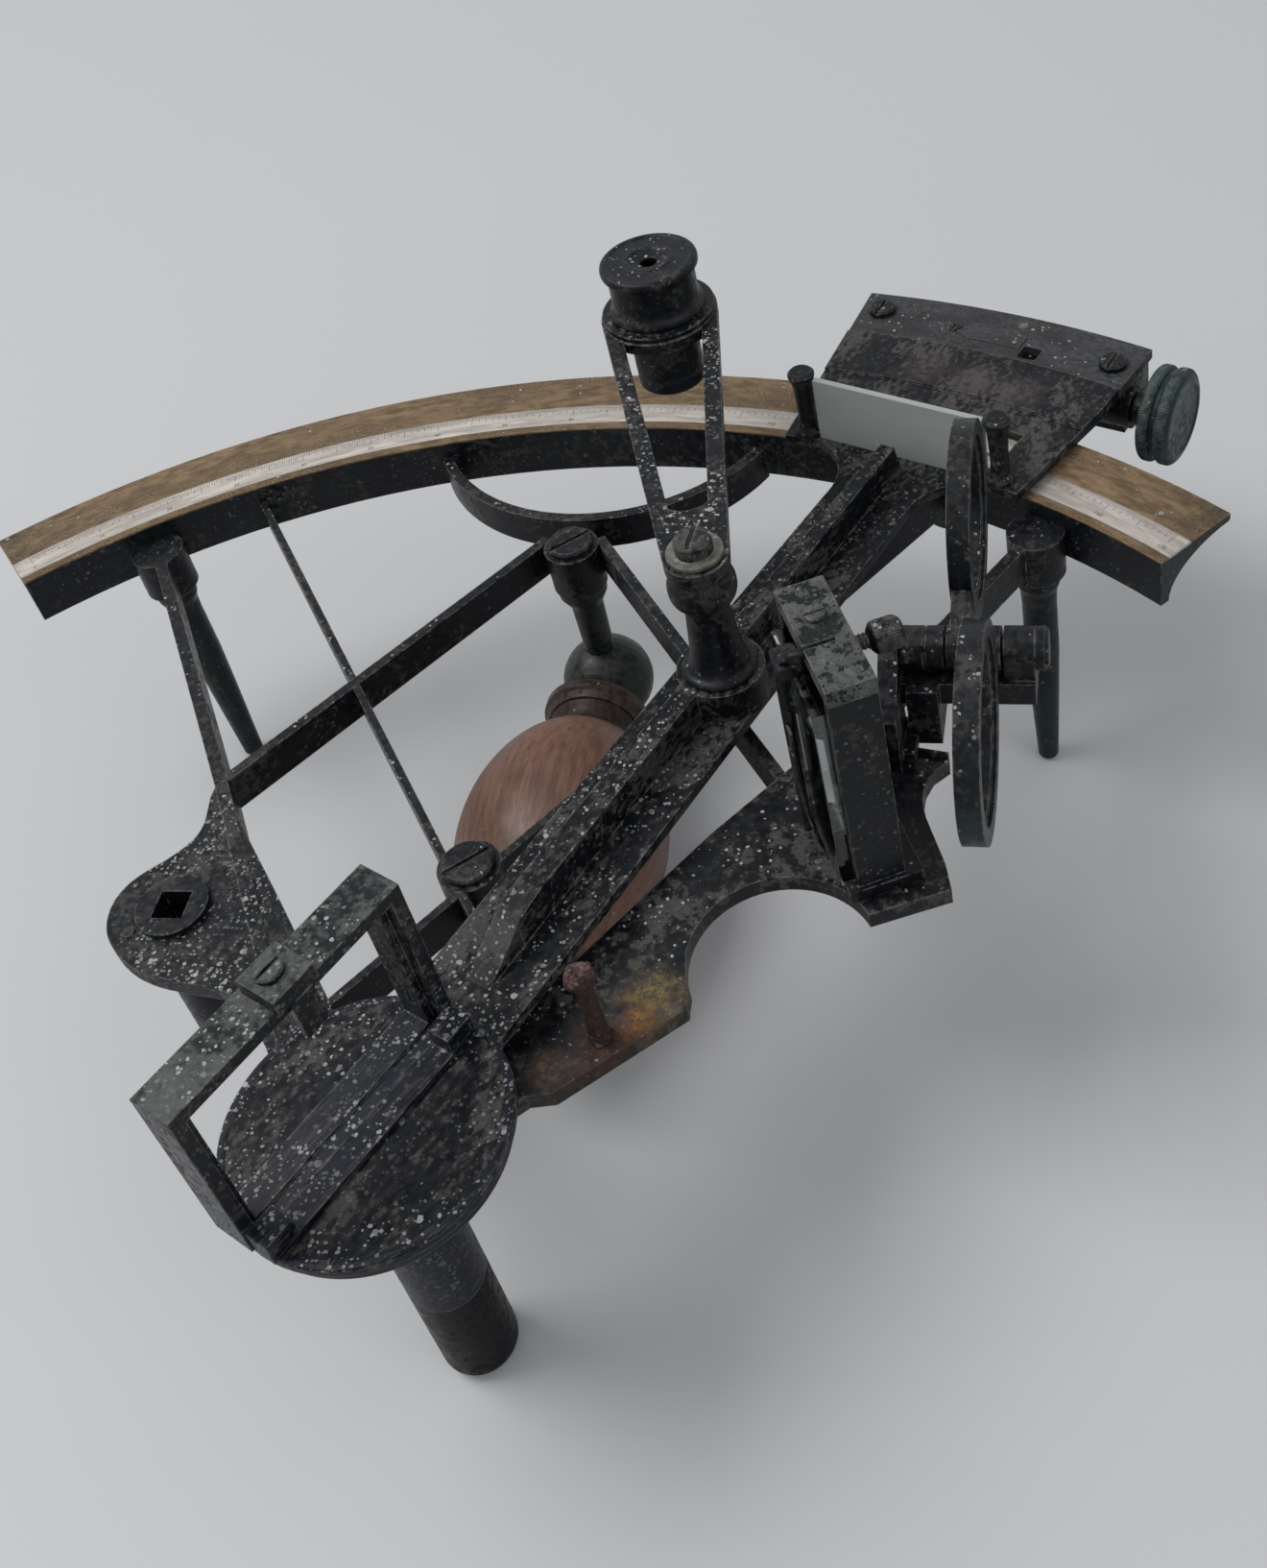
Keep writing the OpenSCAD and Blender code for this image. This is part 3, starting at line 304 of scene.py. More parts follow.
def swept_strip(name: str, path: Array, across: Array, width: Array, thick: float) -> bpy.types.Object:
    """Carry a thin rounded strip along a path.

    The section is an ellipse-like loop s(v) = (w/2 sgn cos |cos v|^0.5, t/2 sgn sin |sin v|^0.5); its
    width lies along the fixed direction across and its thickness along the path's normal.

    Args:
        name: Name of the piece.
        path: Array of shape (n, 3) in metres.
        across: Direction of the width, a unit vector.
        width: Width at each point, in metres.
        thick: Thickness in metres.

    Returns:
        The strip, closed at both ends.
    """
    run = np.gradient(path, axis=0)
    run /= np.linalg.norm(run, axis=1, keepdims=True)
    side = across[None] - (run @ across)[:, None] * run
    side /= np.linalg.norm(side, axis=1, keepdims=True)
    normal = np.cross(run, side)
    v = np.linspace(0, 2 * math.pi, STRIP_SIDES, endpoint=False)
    a = np.sign(np.cos(v)) * np.abs(np.cos(v)) ** 0.5 / 2
    b = np.sign(np.sin(v)) * np.abs(np.sin(v)) ** 0.5 / 2 * thick
    points = (path[:, None] + a[None, :, None] * width[:, None, None] * side[:, None]
              + b[None, :, None] * normal[:, None])
    ends = [np.repeat(path[i:i + 1, None], STRIP_SIDES, 1) for i in (0, len(path) - 1)]
    points = np.concatenate([ends[0], points, ends[1]])
    return mesh_object(name, points.reshape(-1, 3), grid_faces(len(points), STRIP_SIDES, False, True), 40)


# Finishes


class Tree:
    """The nodes of a material or world, with short calls for what the finishes share."""

    def __init__(self, holder: bpy.types.ID) -> None:
        """Start with no nodes.

        Args:
            holder: The material or world that is being made.
        """
        holder.use_nodes = True
        self.holder = holder
        self.nodes = holder.node_tree.nodes
        self.links = holder.node_tree.links
        self.nodes.clear()

    def node(self, kind: str, inputs: Dict[object, object], **settings: object) -> bpy.types.Node:
        """Add a node.

        Args:
            kind: The node's type.
            inputs: A socket, number, colour or vector for each input, by name or number.
            settings: The node's own properties.

        Returns:
            The new node.
        """
        made = self.nodes.new(kind)
        for key, value in settings.items():
            setattr(made, key, value)
        for key, value in inputs.items():
            target = made.inputs[key]
            if isinstance(value, bpy.types.NodeSocket):
                self.links.new(value, target)
            elif isinstance(value, tuple) and target.type == "RGBA":
                target.default_value = (*value, 1.0)
            else:
                target.default_value = value
        return made

    def place(self) -> Socket:
        """The piece's own object coordinates."""
        return self.node("ShaderNodeTexCoord", {}).outputs["Object"]

    def parts(self, vector: Socket) -> Sequence[Socket]:
        """The X, Y and Z parts of a vector."""
        return self.node("ShaderNodeSeparateXYZ", {0: vector}).outputs

    def stretched(self, vector: Socket, scale: Triple, turn: float = 0.0) -> Socket:
        """Coordinates along directions turned about Z by turn degrees, each then scaled by its factor."""
        inputs = {"Vector": vector, "Rotation": (0.0, 0.0, math.radians(turn)),
                  "Scale": tuple(1.0 / part for part in scale)}
        return self.node("ShaderNodeMapping", inputs, vector_type="TEXTURE").outputs["Vector"]

    def polar(self, vector: Socket, around: float) -> Socket:
        """Coordinates (radius, angle times around, height) about the Z axis.

        Args:
            vector: Coordinates.
            around: Factor on the angle in radians.

        Returns:
            The new coordinates.
        """
        x, y, z = self.parts(vector)
        angle = self.times(self.math("ARCTAN2", y, x), around)
        flat = self.math("SQRT", self.math("ADD", self.math("POWER", x, 2.0), self.math("POWER", y, 2.0)))
        return self.node("ShaderNodeCombineXYZ", {0: flat, 1: angle, 2: z}).outputs[0]

    def noise(self, vector: Socket, scale: float, detail: float, rough: float) -> Socket:
        """Fractal noise of a scale per metre, from 0 to 1."""
        inputs = {"Vector": vector, "Scale": scale, "Detail": detail, "Roughness": rough}
        return self.node("ShaderNodeTexNoise", inputs).outputs["Fac"]

    def math(self, kind: str, a: object, b: object = 0.0, clamp: bool = False) -> Socket:
        """One sum of two numbers or sockets."""
        return self.node("ShaderNodeMath", {0: a, 1: b}, operation=kind, use_clamp=clamp).outputs[0]

    def times(self, first: object, *others: object) -> Socket:
        """The product of numbers or sockets.

        Args:
            first: The first number or socket.
            others: The rest, multiplied in one after another.

        Returns:
            The product.
        """
        for other in others:
            first = self.math("MULTIPLY", first, other)
        return first

    def vector_math(self, kind: str, *vectors: object) -> bpy.types.Node:
        """One sum of vectors or their sockets."""
        return self.node("ShaderNodeVectorMath", dict(enumerate(vectors)), operation=kind)

    def span(self, value: Socket, low: float, high: float) -> Socket:
        """A smooth step from 0 at low to 1 at high."""
        inputs = {"Value": value, "From Min": low, "From Max": high}
        return self.node("ShaderNodeMapRange", inputs, interpolation_type="SMOOTHSTEP").outputs["Result"]

    def blend(self, share: object, a: object, b: object) -> Socket:
        """A colour between a and b."""
        return self.node("ShaderNodeMix", {0: share, 6: a, 7: b}, data_type="RGBA").outputs[2]

    def between(self, share: object, a: object, b: object) -> Socket:
        """A number between a and b."""
        return self.node("ShaderNodeMix", {0: share, 2: a, 3: b}, data_type="FLOAT").outputs[0]

    def specks(self, vector: Socket, scale: float, share: float, size: float) -> Socket:
        """Small round spots, one in a share of a pattern's cells, each of its own radius and tone.

        Args:
            vector: Coordinates.
            scale: Cells per metre.
            share: Share of the cells that hold a spot.
            size: Largest radius, as a share of a cell.

        Returns:
            Up to 1 in a spot and 0 outside it.
        """
        cells = self.node("ShaderNodeTexVoronoi", {"Vector": vector, "Scale": scale})
        chance, spread, tone = self.node("ShaderNodeSeparateColor", {0: cells.outputs["Color"]}).outputs
        radius = self.times(self.math("POWER", spread, 2.2), size)
        inside = self.math("SUBTRACT", self.math("ADD", radius, 0.05), cells.outputs["Distance"])
        chosen, pale = self.math("LESS_THAN", chance, share), self.between(tone, 0.35, 1.0)
        return self.times(self.span(inside, -0.02, 0.04), chosen, pale)

    def edges(self, radius: float) -> Tuple[Socket, Socket]:
        """The normal with corners rounded, and how far it leaves the true one.

        Args:
            radius: Radius of the rounding in metres.

        Returns:
            The rounded normal and the amount, 0 on flats.
        """
        soft = self.node("ShaderNodeBevel", {"Radius": radius}, samples=4).outputs["Normal"]
        true = self.node("ShaderNodeNewGeometry", {}).outputs["Normal"]
        return soft, self.math("SUBTRACT", 1.0, self.vector_math("DOT_PRODUCT", soft, true).outputs["Value"])

    def bump(self, height: Socket, distance: float, normal: Optional[Socket] = None) -> Socket:
        """A normal bumped by a height, on top of another normal if one is given."""
        inputs = {"Distance": distance, "Height": height, **({} if normal is None else {"Normal": normal})}
        return self.node("ShaderNodeBump", inputs).outputs["Normal"]

    def shader(self, **sockets: object) -> None:
        """Finish with one Principled shader, its sockets given by name with spaces as underscores."""
        made = self.node("ShaderNodeBsdfPrincipled", {k.replace("_", " "): v for k, v in sockets.items()})
        self.node("ShaderNodeOutputMaterial", {"Surface": made.outputs[0]})


# Settings of a noise: scale per metre, detail and roughness
GRIT_NOISE = (1500.0, 4.0, 0.7)
CROWD_NOISE = (55.0, 3.0, 0.6)
PATINA_NOISE = (38.0, 5.0, 0.65)
TIP_NOISE = (140.0, 6.0, 0.7)
WANDER_NOISE = (230.0, 8.0, 0.72)
CRUMB_NOISE = (620.0, 8.0, 0.78)
# Detail and roughness of a metal's broad and fine pattern, and how much finer the fine one is
BROAD = (5.0, 0.62)
FINE = (6.0, 0.62)
FINER = 7.0
# Radius of the rounded edges, whose tone is rubbed metal and a painted highlight, and how far a speck's
# outline wanders, in metres
EDGE = 0.00045
RAGGED = (0.0005, 0.0005, 0.0005)
RAGGED_SCALE = 1400.0
# Roughness of dust, rust and grime
DULL = 0.85
GRIME = (0.030, 0.026, 0.023)


@dataclass(frozen=True)
class Layer:
    """What a coat of metal hands to the shader."""

    colour: Socket
    roughness: Socket
    metallic: Socket
    height: Socket

    def paint(self, tree: Tree, gloss: float, bump: float, normal: Socket) -> None:
        """Hand the coat to the shader, with its gloss, its depth of bump and the normal below it."""
        tree.shader(Base_Color=self.colour, Roughness=self.roughness, Metallic=self.metallic,
                    Specular_IOR_Level=gloss, Normal=tree.bump(self.height, bump, normal))


@dataclass(frozen=True)
class WornMetal:
    """An old metal: two tones, mottling, edges of their own tone (rubbed metal, and on the dark metals a
    painted highlight), patina, a coat of dust and painted sheen on what faces up, and specks of dust.

    The tones dark and light meet in a fine pattern. The scale per metre of the mottling is broad. It is
    stretched by grain along directions turned by turn degrees, or runs round the Z axis where around
    is set. It starts at the noise's value mottle_from and is full mottle_soft above it. Each share says
    how strongly a thing shows, from 0 to 1. Grit breaks up the mottling and the coat of dust and sheen.
    Roughness runs from smooth to rough. Where they are set, patina stays below the level patina_low,
    specks within fade of the origin, and grime lies beyond grime_from along X.
    """

    dark: Triple = (0.0040, 0.0048, 0.0066)
    light: Triple = (0.0095, 0.0105, 0.0125)
    mottle: Triple = (0.052, 0.048, 0.045)
    mottle_from: float = 0.55
    mottle_soft: float = 0.10
    mottle_share: float = 0.85
    broad: float = 95.0
    metallic: float = 0.20
    smooth: float = 0.28
    rough: float = 0.50
    edge: Triple = (0.25, 0.25, 0.24)
    edge_share: float = 0.8
    patina: Triple = (0.014, 0.034, 0.031)
    patina_share: float = 0.0
    patina_low: float = -1.0
    dust_and_sheen_tone: Triple = (0.105, 0.098, 0.092)
    dust: Triple = (0.36, 0.36, 0.35)
    dust_and_sheen: float = 0.10
    speck_share: float = 0.28
    speck_scale: float = 1350.0
    speck_size: float = 0.52
    grit: float = 0.55
    grain: Triple = (1.0, 1.0, 1.0)
    turn: float = 0.0
    around: float = 0.0
    fade: float = 0.0
    grime_from: float = 0.0
    bump: float = 0.00006
    gloss: float = 0.22

    def green(self, tree: Tree, place: Socket) -> Socket:
        """Where patina lies: in patches, and below the level patina_low if that is set.

        Args:
            tree: Material that is being made.
            place: Object coordinates.

        Returns:
            The patina's share of the colour.
        """
        patches = tree.span(tree.noise(place, *PATINA_NOISE), 0.66 - 0.4 * self.patina_share, 0.78)
        if self.patina_low > 0:
            low = tree.span(tree.parts(place)[2], self.patina_low, self.patina_low * 0.35)
            patches = tree.times(patches, low)
        return tree.times(patches, 0.8)

    def tip(self, tree: Tree, place: Socket) -> Socket:
        """Where grime lies: further than grime_from from the middle, to either side.

        Args:
            tree: Material that is being made.
            place: Object coordinates.

        Returns:
            The grime's share of the colour.
        """
        away = tree.math("ABSOLUTE", tree.parts(place)[0])
        reach = tree.span(away, self.grime_from, self.grime_from + 0.018)
        return tree.times(reach, tree.span(tree.noise(place, *TIP_NOISE), 0.38, 0.62), 0.75)

    def specks(self, tree: Tree, place: Socket, facing: Socket) -> Socket:
        """Where specks of dust lie: in crowds, mostly on what faces up, and within fade if that is set.

        Args:
            tree: Material that is being made.
            place: Object coordinates.
            facing: How far the surface faces up.

        Returns:
            The specks' share of the colour.
        """
        swirl = tree.node("ShaderNodeTexNoise", {"Vector": place, "Scale": RAGGED_SCALE}).outputs["Color"]
        ragged = tree.vector_math("MULTIPLY_ADD", swirl, RAGGED, place).outputs[0]
        small = tree.specks(ragged, self.speck_scale, self.speck_share, self.speck_size)
        large = tree.specks(ragged, self.speck_scale * 0.6, self.speck_share * 0.12, self.speck_size)
        crowd = tree.span(tree.noise(place, *CROWD_NOISE), 0.40, 0.58)
        if self.fade:
            reach = tree.vector_math("LENGTH", place).outputs["Value"]
            crowd = tree.times(crowd, tree.span(reach, self.fade, self.fade * 0.5))
        lit = tree.times(tree.between(facing, 0.25, 0.95), tree.between(crowd, 0.10, 1.0))
        return tree.times(tree.math("MAXIMUM", small, large), lit)

    def layer(self, tree: Tree, edge_amount: Socket) -> Layer:
        """Make the coat's sockets.

        Args:
            tree: Material that is being made.
            edge_amount: How much of an edge this is, 0 on flats.

        Returns:
            The coat's colour, roughness, metallic share and height.
        """
        place = tree.place()
        laid = tree.stretched(tree.polar(place, self.around) if self.around else place, self.grain, self.turn)
        fine = tree.noise(laid, self.broad * FINER, *FINE)
        mixed = tree.math("ADD", tree.noise(laid, self.broad, *BROAD),
                          tree.times(tree.math("SUBTRACT", fine, 0.5), 0.8))
        grit = tree.between(tree.span(tree.noise(place, *GRIT_NOISE), 0.36, 0.64), 1.0 - self.grit, 1.0)
        mottled = tree.times(tree.span(mixed, self.mottle_from, self.mottle_from + self.mottle_soft),
                             self.mottle_share, grit)
        colour = tree.blend(tree.span(fine, 0.34, 0.70), self.dark, self.light)
        colour = tree.blend(mottled, colour, self.mottle)
        if self.patina_share:
            colour = tree.blend(self.green(tree, place), colour, self.patina)
        if self.grime_from:
            colour = tree.blend(self.tip(tree, place), colour, GRIME)
        # Edges take the edge tone: rubbed metal and, on the dark metals where that tone is lighter, a painted
        # highlight.
        edge_wear_and_highlight = tree.times(tree.span(edge_amount, 0.03, 0.22), tree.span(fine, 0.36, 0.60), self.edge_share)
        colour = tree.blend(edge_wear_and_highlight, colour, self.edge)
        up = tree.parts(tree.node("ShaderNodeTexCoord", {}).outputs["Normal"])[2]
        facing = tree.span(up, 0.1, 0.95)
        # What faces up takes a lighter tone: dust, and a painted sheen from the light overhead.
        dust_and_sheen = tree.times(facing, self.dust_and_sheen, tree.span(mixed, 0.34, 0.60), grit)
        specks = self.specks(tree, place, facing)
        colour = tree.blend(specks, tree.blend(dust_and_sheen, colour, self.dust_and_sheen_tone), self.dust)
        cover = tree.math("MAXIMUM", dust_and_sheen, specks, clamp=True)
        rough = tree.between(tree.span(fine, 0.3, 0.7), self.smooth, self.rough)
        rough = tree.between(tree.math("MAXIMUM", cover, mottled), rough, DULL)
        shine = tree.times(tree.math("SUBTRACT", 1.0, cover), self.metallic)
        height = tree.math("ADD", tree.times(fine, 0.6), tree.math("ADD", mottled, specks))
        return Layer(colour, rough, shine, height)

    def paint(self, tree: Tree) -> None:
        """Put the metal on a material."""
        normal, edge_amount = tree.edges(EDGE)
        self.layer(tree, edge_amount).paint(tree, self.gloss, self.bump, normal)


@dataclass(frozen=True)
class TwoMetals:
    """One metal below a level and another above it, as on the limb with its scraped face.

    The level is measured along one of the axes: 0 for X, 1 for Y, 2 for Z.
    """

    below: WornMetal
    above: WornMetal
    level: float
    along: int = 2
    gloss: float = 0.3

    def paint(self, tree: Tree) -> None:
        """Put the metals on a material.

        Args:
            tree: Material that is being made.
        """
        normal, edge_amount = tree.edges(EDGE)
        low, high = self.below.layer(tree, edge_amount), self.above.layer(tree, edge_amount)
        share = tree.span(tree.parts(tree.place())[self.along], self.level - 0.1 * MM, self.level)
        Layer(tree.blend(share, low.colour, high.colour), tree.between(share, low.roughness, high.roughness),
              tree.between(share, low.metallic, high.metallic), tree.between(share, low.height, high.height),
              ).paint(tree, self.gloss, self.below.bump, normal)


@dataclass(frozen=True)
class Stain:
    """A stain: its middle, its reach, its colours and how much of the metal it covers."""

    centre: Triple
    radius: float
    inner: Triple
    outer: Triple
    share: float = 0.9


@dataclass(frozen=True)
class StainedMetal:
    """A metal with ragged stains round a few points."""

    metal: WornMetal
    stains: Tuple[Stain, ...]

    def paint(self, tree: Tree) -> None:
        """Put the stained metal on a material.

        Args:
            tree: Material that is being made.
        """
        normal, edge_amount = tree.edges(EDGE)
        coat = self.metal.layer(tree, edge_amount)
        place = tree.place()
        wander = tree.times(tree.math("SUBTRACT", tree.noise(place, *WANDER_NOISE), 0.5), 2.0)
        crumbs = tree.span(tree.noise(place, *CRUMB_NOISE), 0.40, 0.62)
        colour, rough = coat.colour, coat.roughness
        for stain in self.stains:
            gap = tree.vector_math("DISTANCE", place, stain.centre).outputs["Value"]
            ragged = tree.math("ADD", tree.math("DIVIDE", gap, stain.radius), wander)
            core = tree.times(tree.span(ragged, 0.9, 0.1), tree.between(crumbs, 0.3, 1.0))
            cover = tree.times(tree.span(ragged, 1.3, 0.35), tree.between(crumbs, 0.35, 1.0), stain.share)
            colour = tree.blend(cover, colour, tree.blend(core, stain.outer, stain.inner))
            rough = tree.between(cover, rough, DULL)
        stained = replace(coat, colour=colour, roughness=rough)
        stained.paint(tree, self.metal.gloss, self.metal.bump, normal)


@dataclass(frozen=True)
class Hardwood:
    """Varnished wood, its varnish rubbed thin, its grain along Y."""

    dark: Triple = (0.085, 0.039, 0.025)
    light: Triple = (0.165, 0.079, 0.049)
    pore: Triple = (0.05, 0.02, 0.012)
    dust: Triple = (0.30, 0.26, 0.23)

    def paint(self, tree: Tree) -> None:
        """Put the wood on a material.

        Args:
            tree: Material that is being made.
        """
        place = tree.place()
        streak = tree.noise(tree.stretched(place, (1.0, 0.05, 1.0)), 800.0, 6.0, 0.65)
        pores = tree.noise(tree.stretched(place, (1.0, 0.03, 1.0)), 2600.0, 3.0, 0.6)
        cloud = tree.noise(place, 60.0, 4.0, 0.6)
        tone = tree.math("ADD", tree.times(streak, 0.7), tree.times(cloud, 0.3))
        colour = tree.blend(tree.span(tone, 0.38, 0.60), self.dark, self.light)
        colour = tree.blend(tree.times(tree.span(pores, 0.56, 0.68), 0.55), colour, self.pore)
        colour = tree.blend(tree.times(tree.specks(place, 500.0, 0.08, 0.25), 0.5), colour, self.dust)
        tree.shader(Base_Color=colour, Roughness=tree.between(tree.span(cloud, 0.35, 0.65), 0.42, 0.6),
                    Normal=tree.bump(tree.math("ADD", streak, pores), 0.00005))


@dataclass(frozen=True)
class DustyGlass:
    """Glass with dust on it, clear or ground: how much it lets through, its roughness and its spots."""

    tint: Triple
    transmission: float
    smooth: float
    rough: float
    spots: float
    dust: Triple = (0.62, 0.61, 0.58)
    bending: float = 1.5

    def paint(self, tree: Tree) -> None:
        """Put the glass on a material.

        Args:
            tree: Material that is being made.
        """
        place = tree.place()
        cloud = tree.noise(place, 120.0, 5.0, 0.65)
        spots = tree.math("MAXIMUM", tree.specks(place, 700.0, self.spots, 0.3),
                          tree.times(tree.span(cloud, 0.55, 0.8), 0.35))
        tree.shader(Base_Color=tree.blend(tree.times(spots, 0.7), self.tint, self.dust),
                    Transmission_Weight=tree.times(tree.math("SUBTRACT", 1.0, spots), self.transmission),
                    IOR=self.bending,
                    Roughness=tree.between(tree.span(cloud, 0.35, 0.7), self.smooth, self.rough))


def purple(x: float, y: float) -> Stain:
    """A purple-brown stain on the arm's face."""
    return Stain((x, y, ARM_TOP * MM), 0.0065, (0.100, 0.072, 0.078), (0.060, 0.048, 0.051), 0.7)


# Metals that the finishes are made from
BLACK = WornMetal()
SCALE_GOLD = WornMetal(
    dark=(0.115, 0.075, 0.041), light=(0.25, 0.172, 0.096), mottle=(0.045, 0.032, 0.022),
    mottle_from=0.53, mottle_share=0.75, broad=90.0, metallic=0.45, smooth=0.36, rough=0.58,
    edge=(0.40, 0.30, 0.18), dust_and_sheen=0.05, speck_share=0.05, around=0.06, bump=0.00003, grit=0.9,
    grime_from=0.119)
DARK_PLATE = replace(BLACK, mottle=(0.080, 0.075, 0.069), mottle_from=0.51, broad=75.0)
BROWN = WornMetal(
    dark=(0.020, 0.012, 0.010), light=(0.062, 0.039, 0.031), mottle=(0.012, 0.011, 0.010),
    metallic=0.1, smooth=0.3, rough=0.5, speck_share=0.1, edge=(0.15, 0.10, 0.08))
BLUE_BLACK = replace(
    BLACK, dark=(0.0032, 0.0045, 0.0098), light=(0.008, 0.011, 0.019), mottle=(0.055, 0.050, 0.045),
    mottle_from=0.52, mottle_share=0.65, speck_share=1.0, speck_size=0.60, grain=(0.13, 1.0, 1.0),
    turn=60.0, broad=300.0, dust_and_sheen=0.03)
# A heavy lighter coat on what faces up: dust and painted sheen.
DUSTED_AND_SHEENED = replace(BLACK, dust_and_sheen=0.9, dust_and_sheen_tone=(0.090, 0.096, 0.091), speck_share=1.0, grit=0.4)
GREEN_GREY = replace(
    BLACK, dark=(0.010, 0.012, 0.011), light=(0.026, 0.030, 0.027), speck_share=0.03,
    mottle_share=0.3, patina_share=0.5, patina=(0.018, 0.034, 0.029))
PALE_GREY = WornMetal(
    dark=(0.11, 0.105, 0.09), light=(0.22, 0.21, 0.18), mottle=(0.07, 0.065, 0.055),
    mottle_from=0.52, metallic=0.35, edge=(0.30, 0.28, 0.24))


class Finish(Enum):
    """The finishes of the pieces and of the CAD nodes."""

    FRAME = replace(BLACK, patina_share=0.12)
    ARM = StainedMetal(
        replace(BLACK, mottle_from=0.49, mottle=(0.078, 0.073, 0.070), speck_share=0.7, fade=0.22,
                mottle_soft=0.12, grain=(0.65, 1.0, 1.0), turn=ARM_TURN, broad=110.0, gloss=0.15,
                metallic=0.14),
        (purple(0.0955, 0.1828), purple(0.0846, 0.1876), purple(0.0740, 0.1925)))
    COVER = replace(
        BLACK, dark=(0.024, 0.025, 0.027), light=(0.064, 0.065, 0.066), mottle=(0.0050, 0.0055, 0.0090),
        mottle_from=0.49, mottle_share=0.9, speck_share=0.2, grain=(1.0, 0.45, 1.0), turn=ARM_TURN,
        broad=170.0, smooth=0.5, rough=0.75, dust_and_sheen=0.2)
    DISC = BLUE_BLACK
    EAR = replace(BLACK, speck_share=1.0, speck_size=0.60, mottle_from=0.52)
    LEG = replace(BLACK, patina_share=0.8, patina_low=0.075, speck_share=0.12, dust_and_sheen=0.05)
    # Darker than the frame's black: painted shade for the shade the pivot foot stands in.
    SHADED_FOOT = replace(
        BLACK, dark=(0.0015, 0.0018, 0.0026), light=(0.0035, 0.0040, 0.0048),
        mottle=(0.012, 0.012, 0.013), speck_share=0.10, dust_and_sheen=0.03, metallic=0.05, gloss=0.12)
    KNOB = replace(BLACK, patina=(0.023, 0.064, 0.057), patina_share=0.75, speck_share=0.2)
    SILVER = WornMetal(
        dark=(0.38, 0.345, 0.305), light=(0.60, 0.555, 0.50), mottle=(0.20, 0.155, 0.130),
        mottle_from=0.60, mottle_share=0.55, broad=130.0, metallic=0.55, smooth=0.34, rough=0.5,
        edge=(0.22, 0.17, 0.12), dust_and_sheen=0.02, speck_share=0.02, around=0.02, bump=0.00002,
        grime_from=0.122)
    STEEL = WornMetal(
        dark=(0.020, 0.020, 0.021), light=(0.055, 0.054, 0.052), mottle=(0.04, 0.026, 0.019),
        metallic=0.6, smooth=0.34, rough=0.6, edge=(0.26, 0.25, 0.24))
    WASHER = PALE_GREY
    RUST = WornMetal(
        dark=(0.016, 0.009, 0.008), light=(0.055, 0.029, 0.024), mottle=(0.13, 0.075, 0.065),
        mottle_from=0.60, metallic=0.05, smooth=0.8, rough=0.95, edge=(0.12, 0.055, 0.04), dust_and_sheen=0.75,
        dust_and_sheen_tone=(0.19, 0.115, 0.105), speck_share=0.1, broad=190.0, bump=0.0003)
    DUSTY = DUSTED_AND_SHEENED
    # Above 85 mm the frame's up-facing faces take the heavy coat of dust and painted sheen; below it is
    # blue-black.
    MIRROR_FRAME = TwoMetals(BLUE_BLACK, DUSTED_AND_SHEENED, 0.085)
    ENGRAVING = WornMetal(
        dark=(0.03, 0.022, 0.018), light=(0.07, 0.05, 0.04), metallic=0.0, mottle=(0.05, 0.035, 0.025),
        dust_and_sheen=0.0, speck_share=0.0, edge_share=0.0, bump=0.00001)
    WOOD = Hardwood()
    BEAD = replace(BROWN, light=(0.045, 0.030, 0.026))
    CLEAR_GLASS = DustyGlass((0.90, 0.95, 0.94), 1.0, 0.0, 0.03, 0.04)
    GROUND_GLASS = DustyGlass((0.425, 0.450, 0.434), 0.36, 0.45, 0.62, 0.16)
    # The gold begins 0.4 mm below the face, so the top of the sides is gold too: partly the face's own edge,
    # partly a painted edge highlight.
    LIMB = TwoMetals(replace(BLACK, patina_share=0.4), SCALE_GOLD, 0.0716)
    UPPER_FERRULE = TwoMetals(BROWN, GREEN_GREY, 0.1330, 1)
    YOKE_SCREW = TwoMetals(PALE_GREY, DARK_PLATE, 0.1106)
    STAINED_PLATE = StainedMetal(DARK_PLATE, (
        Stain((0.0330, 0.0190, 0.0678), 0.0075, (0.10, 0.042, 0.022), (0.050, 0.028, 0.020), 0.8),
        Stain((0.0245, 0.0155, 0.0678), 0.0050, (0.16, 0.105, 0.055), (0.075, 0.055, 0.040), 0.7),
        Stain((0.0392, 0.0292, 0.0678), 0.0070, (0.24, 0.175, 0.065), (0.090, 0.066, 0.042)),
        Stain((0.0378, 0.0250, 0.0678), 0.0042, (0.26, 0.120, 0.032), (0.11, 0.050, 0.024))))
    FERRULE = GREEN_GREY
    BLOTCHED = replace(
        BLACK, dark=(0.055, 0.058, 0.054), light=(0.125, 0.129, 0.119), mottle=(0.0040, 0.0050, 0.0070),
        mottle_from=0.505, mottle_share=0.97, mottle_soft=0.07, grit=0.15, broad=150.0, dust_and_sheen=0.0,
        speck_share=0.4)


